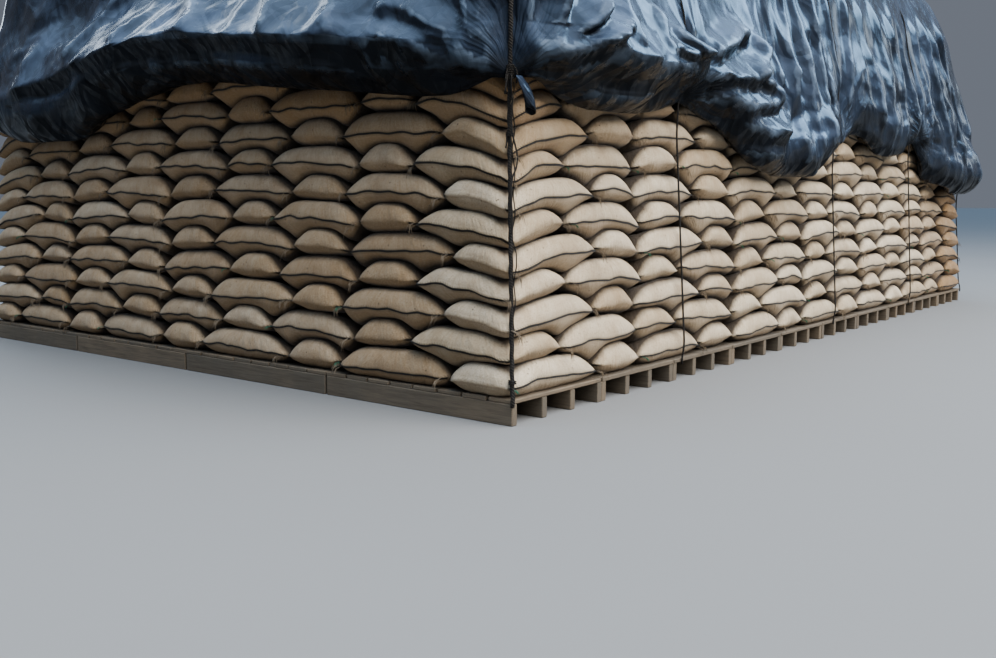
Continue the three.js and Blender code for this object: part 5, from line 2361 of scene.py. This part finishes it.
@dataclass
class Crates:
    """The dunnage crates that a side of the stack shows: nailed boards on four bearers each."""

    width: float = 0.914
    depth: float = 1.524
    gap: float = 0.005
    along: int = 10
    across: int = 4
    bearers: int = 4
    bearer_width: float = 0.048
    board_thickness: float = 0.025
    boards: int = 8
    board_gap: float = 0.016
    bevel: float = 0.003
    bow: float = 0.0012
    cloth_turn: float = 0.13
    bearer_wear: tuple = (0.001, 0.010)
    board_wear: tuple = (0.0005, 0.006)
    under_board: float = 0.0005
    under_sacks: float = 0.0008

    def box(self, shell: Shell, low: Array, high: Array, axis: int, rng: np.random.Generator) -> None:
        """Adds one sawn board with worn edges: rings of eight points along it, drawn in at both ends.

        Args:
            shell: The crate's shell.
            low: Its lowest corner.
            high: Its highest corner.
            axis: The axis that its grain runs along.
            rng: Source of its wear.
        """
        size = high - low
        across = [1, 2] if axis == 0 else [2, 0]
        b = self.bevel * rng.uniform(0.7, 1.6)
        corners = b * np.array([(0, 1), (1, 0), (-1, 0), (0, 1), (0, -1), (-1, 0), (1, 0), (0, -1)])
        base = np.array([(0, 0), (0, 0), (1, 0), (1, 0), (1, 1), (1, 1), (0, 1), (0, 1)])
        ring = base * size[across] + corners + low[across]
        centre = 0.5 * (low + high)[across]
        steps = np.array([0.0, b, 0.5 * size[axis], size[axis] - b, size[axis]])
        pulls = np.array([b, 0.0, 0.0, 0.0, b])[:, None, None]
        points = np.zeros((5, 8, 3))
        points[..., across] = centre + (ring - centre) * (1 - pulls / (0.5 * size[across]))
        points[..., axis] = (low[axis] + steps)[:, None]
        points[2, :, 1 - axis] += rng.normal(0, self.bow)
        around = np.array([0, 0, 1, 1, 2, 2, 3, 3]) * self.cloth_turn + rng.uniform(0, 5)
        cloth = np.stack(np.broadcast_arrays(steps[:, None] + rng.uniform(0, 9), around[None, :]), axis=-1)
        cloth = np.concatenate([cloth.reshape(-1, 2), cloth[0, :1], cloth[-1, :1]])
        shell.add_rings(points, cloth, Tone=rng.uniform(0, 1))

    def build_crate(self, name: str, column: int, row: int, timber: bpy.types.Material) -> None:
        """Builds one crate at its place under the stack.

        Args:
            name: Name of its node in the model.
            column: Its place along X.
            row: Its place along Y.
            timber: Its finish.
        """
        rng = np.random.default_rng([column, row, 7])
        shell = Shell()
        x = (column - 0.5 * (self.along - 1)) * (self.width + self.gap)
        y = (row - 0.5 * (self.across - 1)) * (self.depth + self.gap)
        top, deck = SIZES.deck_top - self.board_thickness, SIZES.deck_top - self.under_sacks
        under = top - self.under_board
        pitch = (self.width - self.bearer_width) / (self.bearers - 1)
        for i in range(self.bearers):
            middle = x + (i - 0.5 * (self.bearers - 1)) * pitch
            in_a, in_b = rng.uniform(*self.bearer_wear, 2)
            low = np.array([middle - 0.5 * self.bearer_width, y - 0.5 * self.depth + in_a, 0.0])
            high = np.array([middle + 0.5 * self.bearer_width, y + 0.5 * self.depth - in_b, under])
            self.box(shell, low, high, 1, rng)
        step = (self.depth + self.board_gap) / self.boards
        for i in range(self.boards):
            start = y - 0.5 * self.depth + i * step
            in_a, in_b = rng.uniform(*self.board_wear, 2)
            low = np.array([x - 0.5 * self.width + in_a, start + 0.001, top])
            high = np.array([x + 0.5 * self.width - in_b, start + step - self.board_gap, deck])
            self.box(shell, low, high, 0, rng)
        shell.dress(name.replace("dunnage_", ""), timber, "crate_wood", name, smooth=False)

    def build(self, timber: bpy.types.Material) -> None:
        """Builds the crates round the edge of the stack, numbered as in the model.

        Args:
            timber: Their finish.
        """
        places = [(row, column) for row in range(self.across) for column in range(self.along)
                  if row in (0, self.across - 1) or column in (0, self.along - 1)]
        for number, (row, column) in enumerate(places, 1):
            self.build_crate(f"dunnage_crate_{number:02d}", column, row, timber)


def main() -> None:
    """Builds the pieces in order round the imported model."""
    logging.basicConfig(level=logging.INFO, format="%(message)s")
    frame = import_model()
    model_box = tuple(corner.copy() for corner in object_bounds())
    Studio().build()
    Ropework(RopeFinish().material()).build()
    timber = TimberFinish()
    Crates().build(timber.material())
    jute = JuteFinish().material()
    SackStack().build(jute)
    CoverSheet().build(PolytheneFinish().material())
    for node, finish in (("dunnage_core", timber.material(solid=True)), ("sacks_top_core", jute)):
        for slot in frame["nodes"][node].material_slots:
            slot.material = finish


if __name__ == "__main__":
    main()
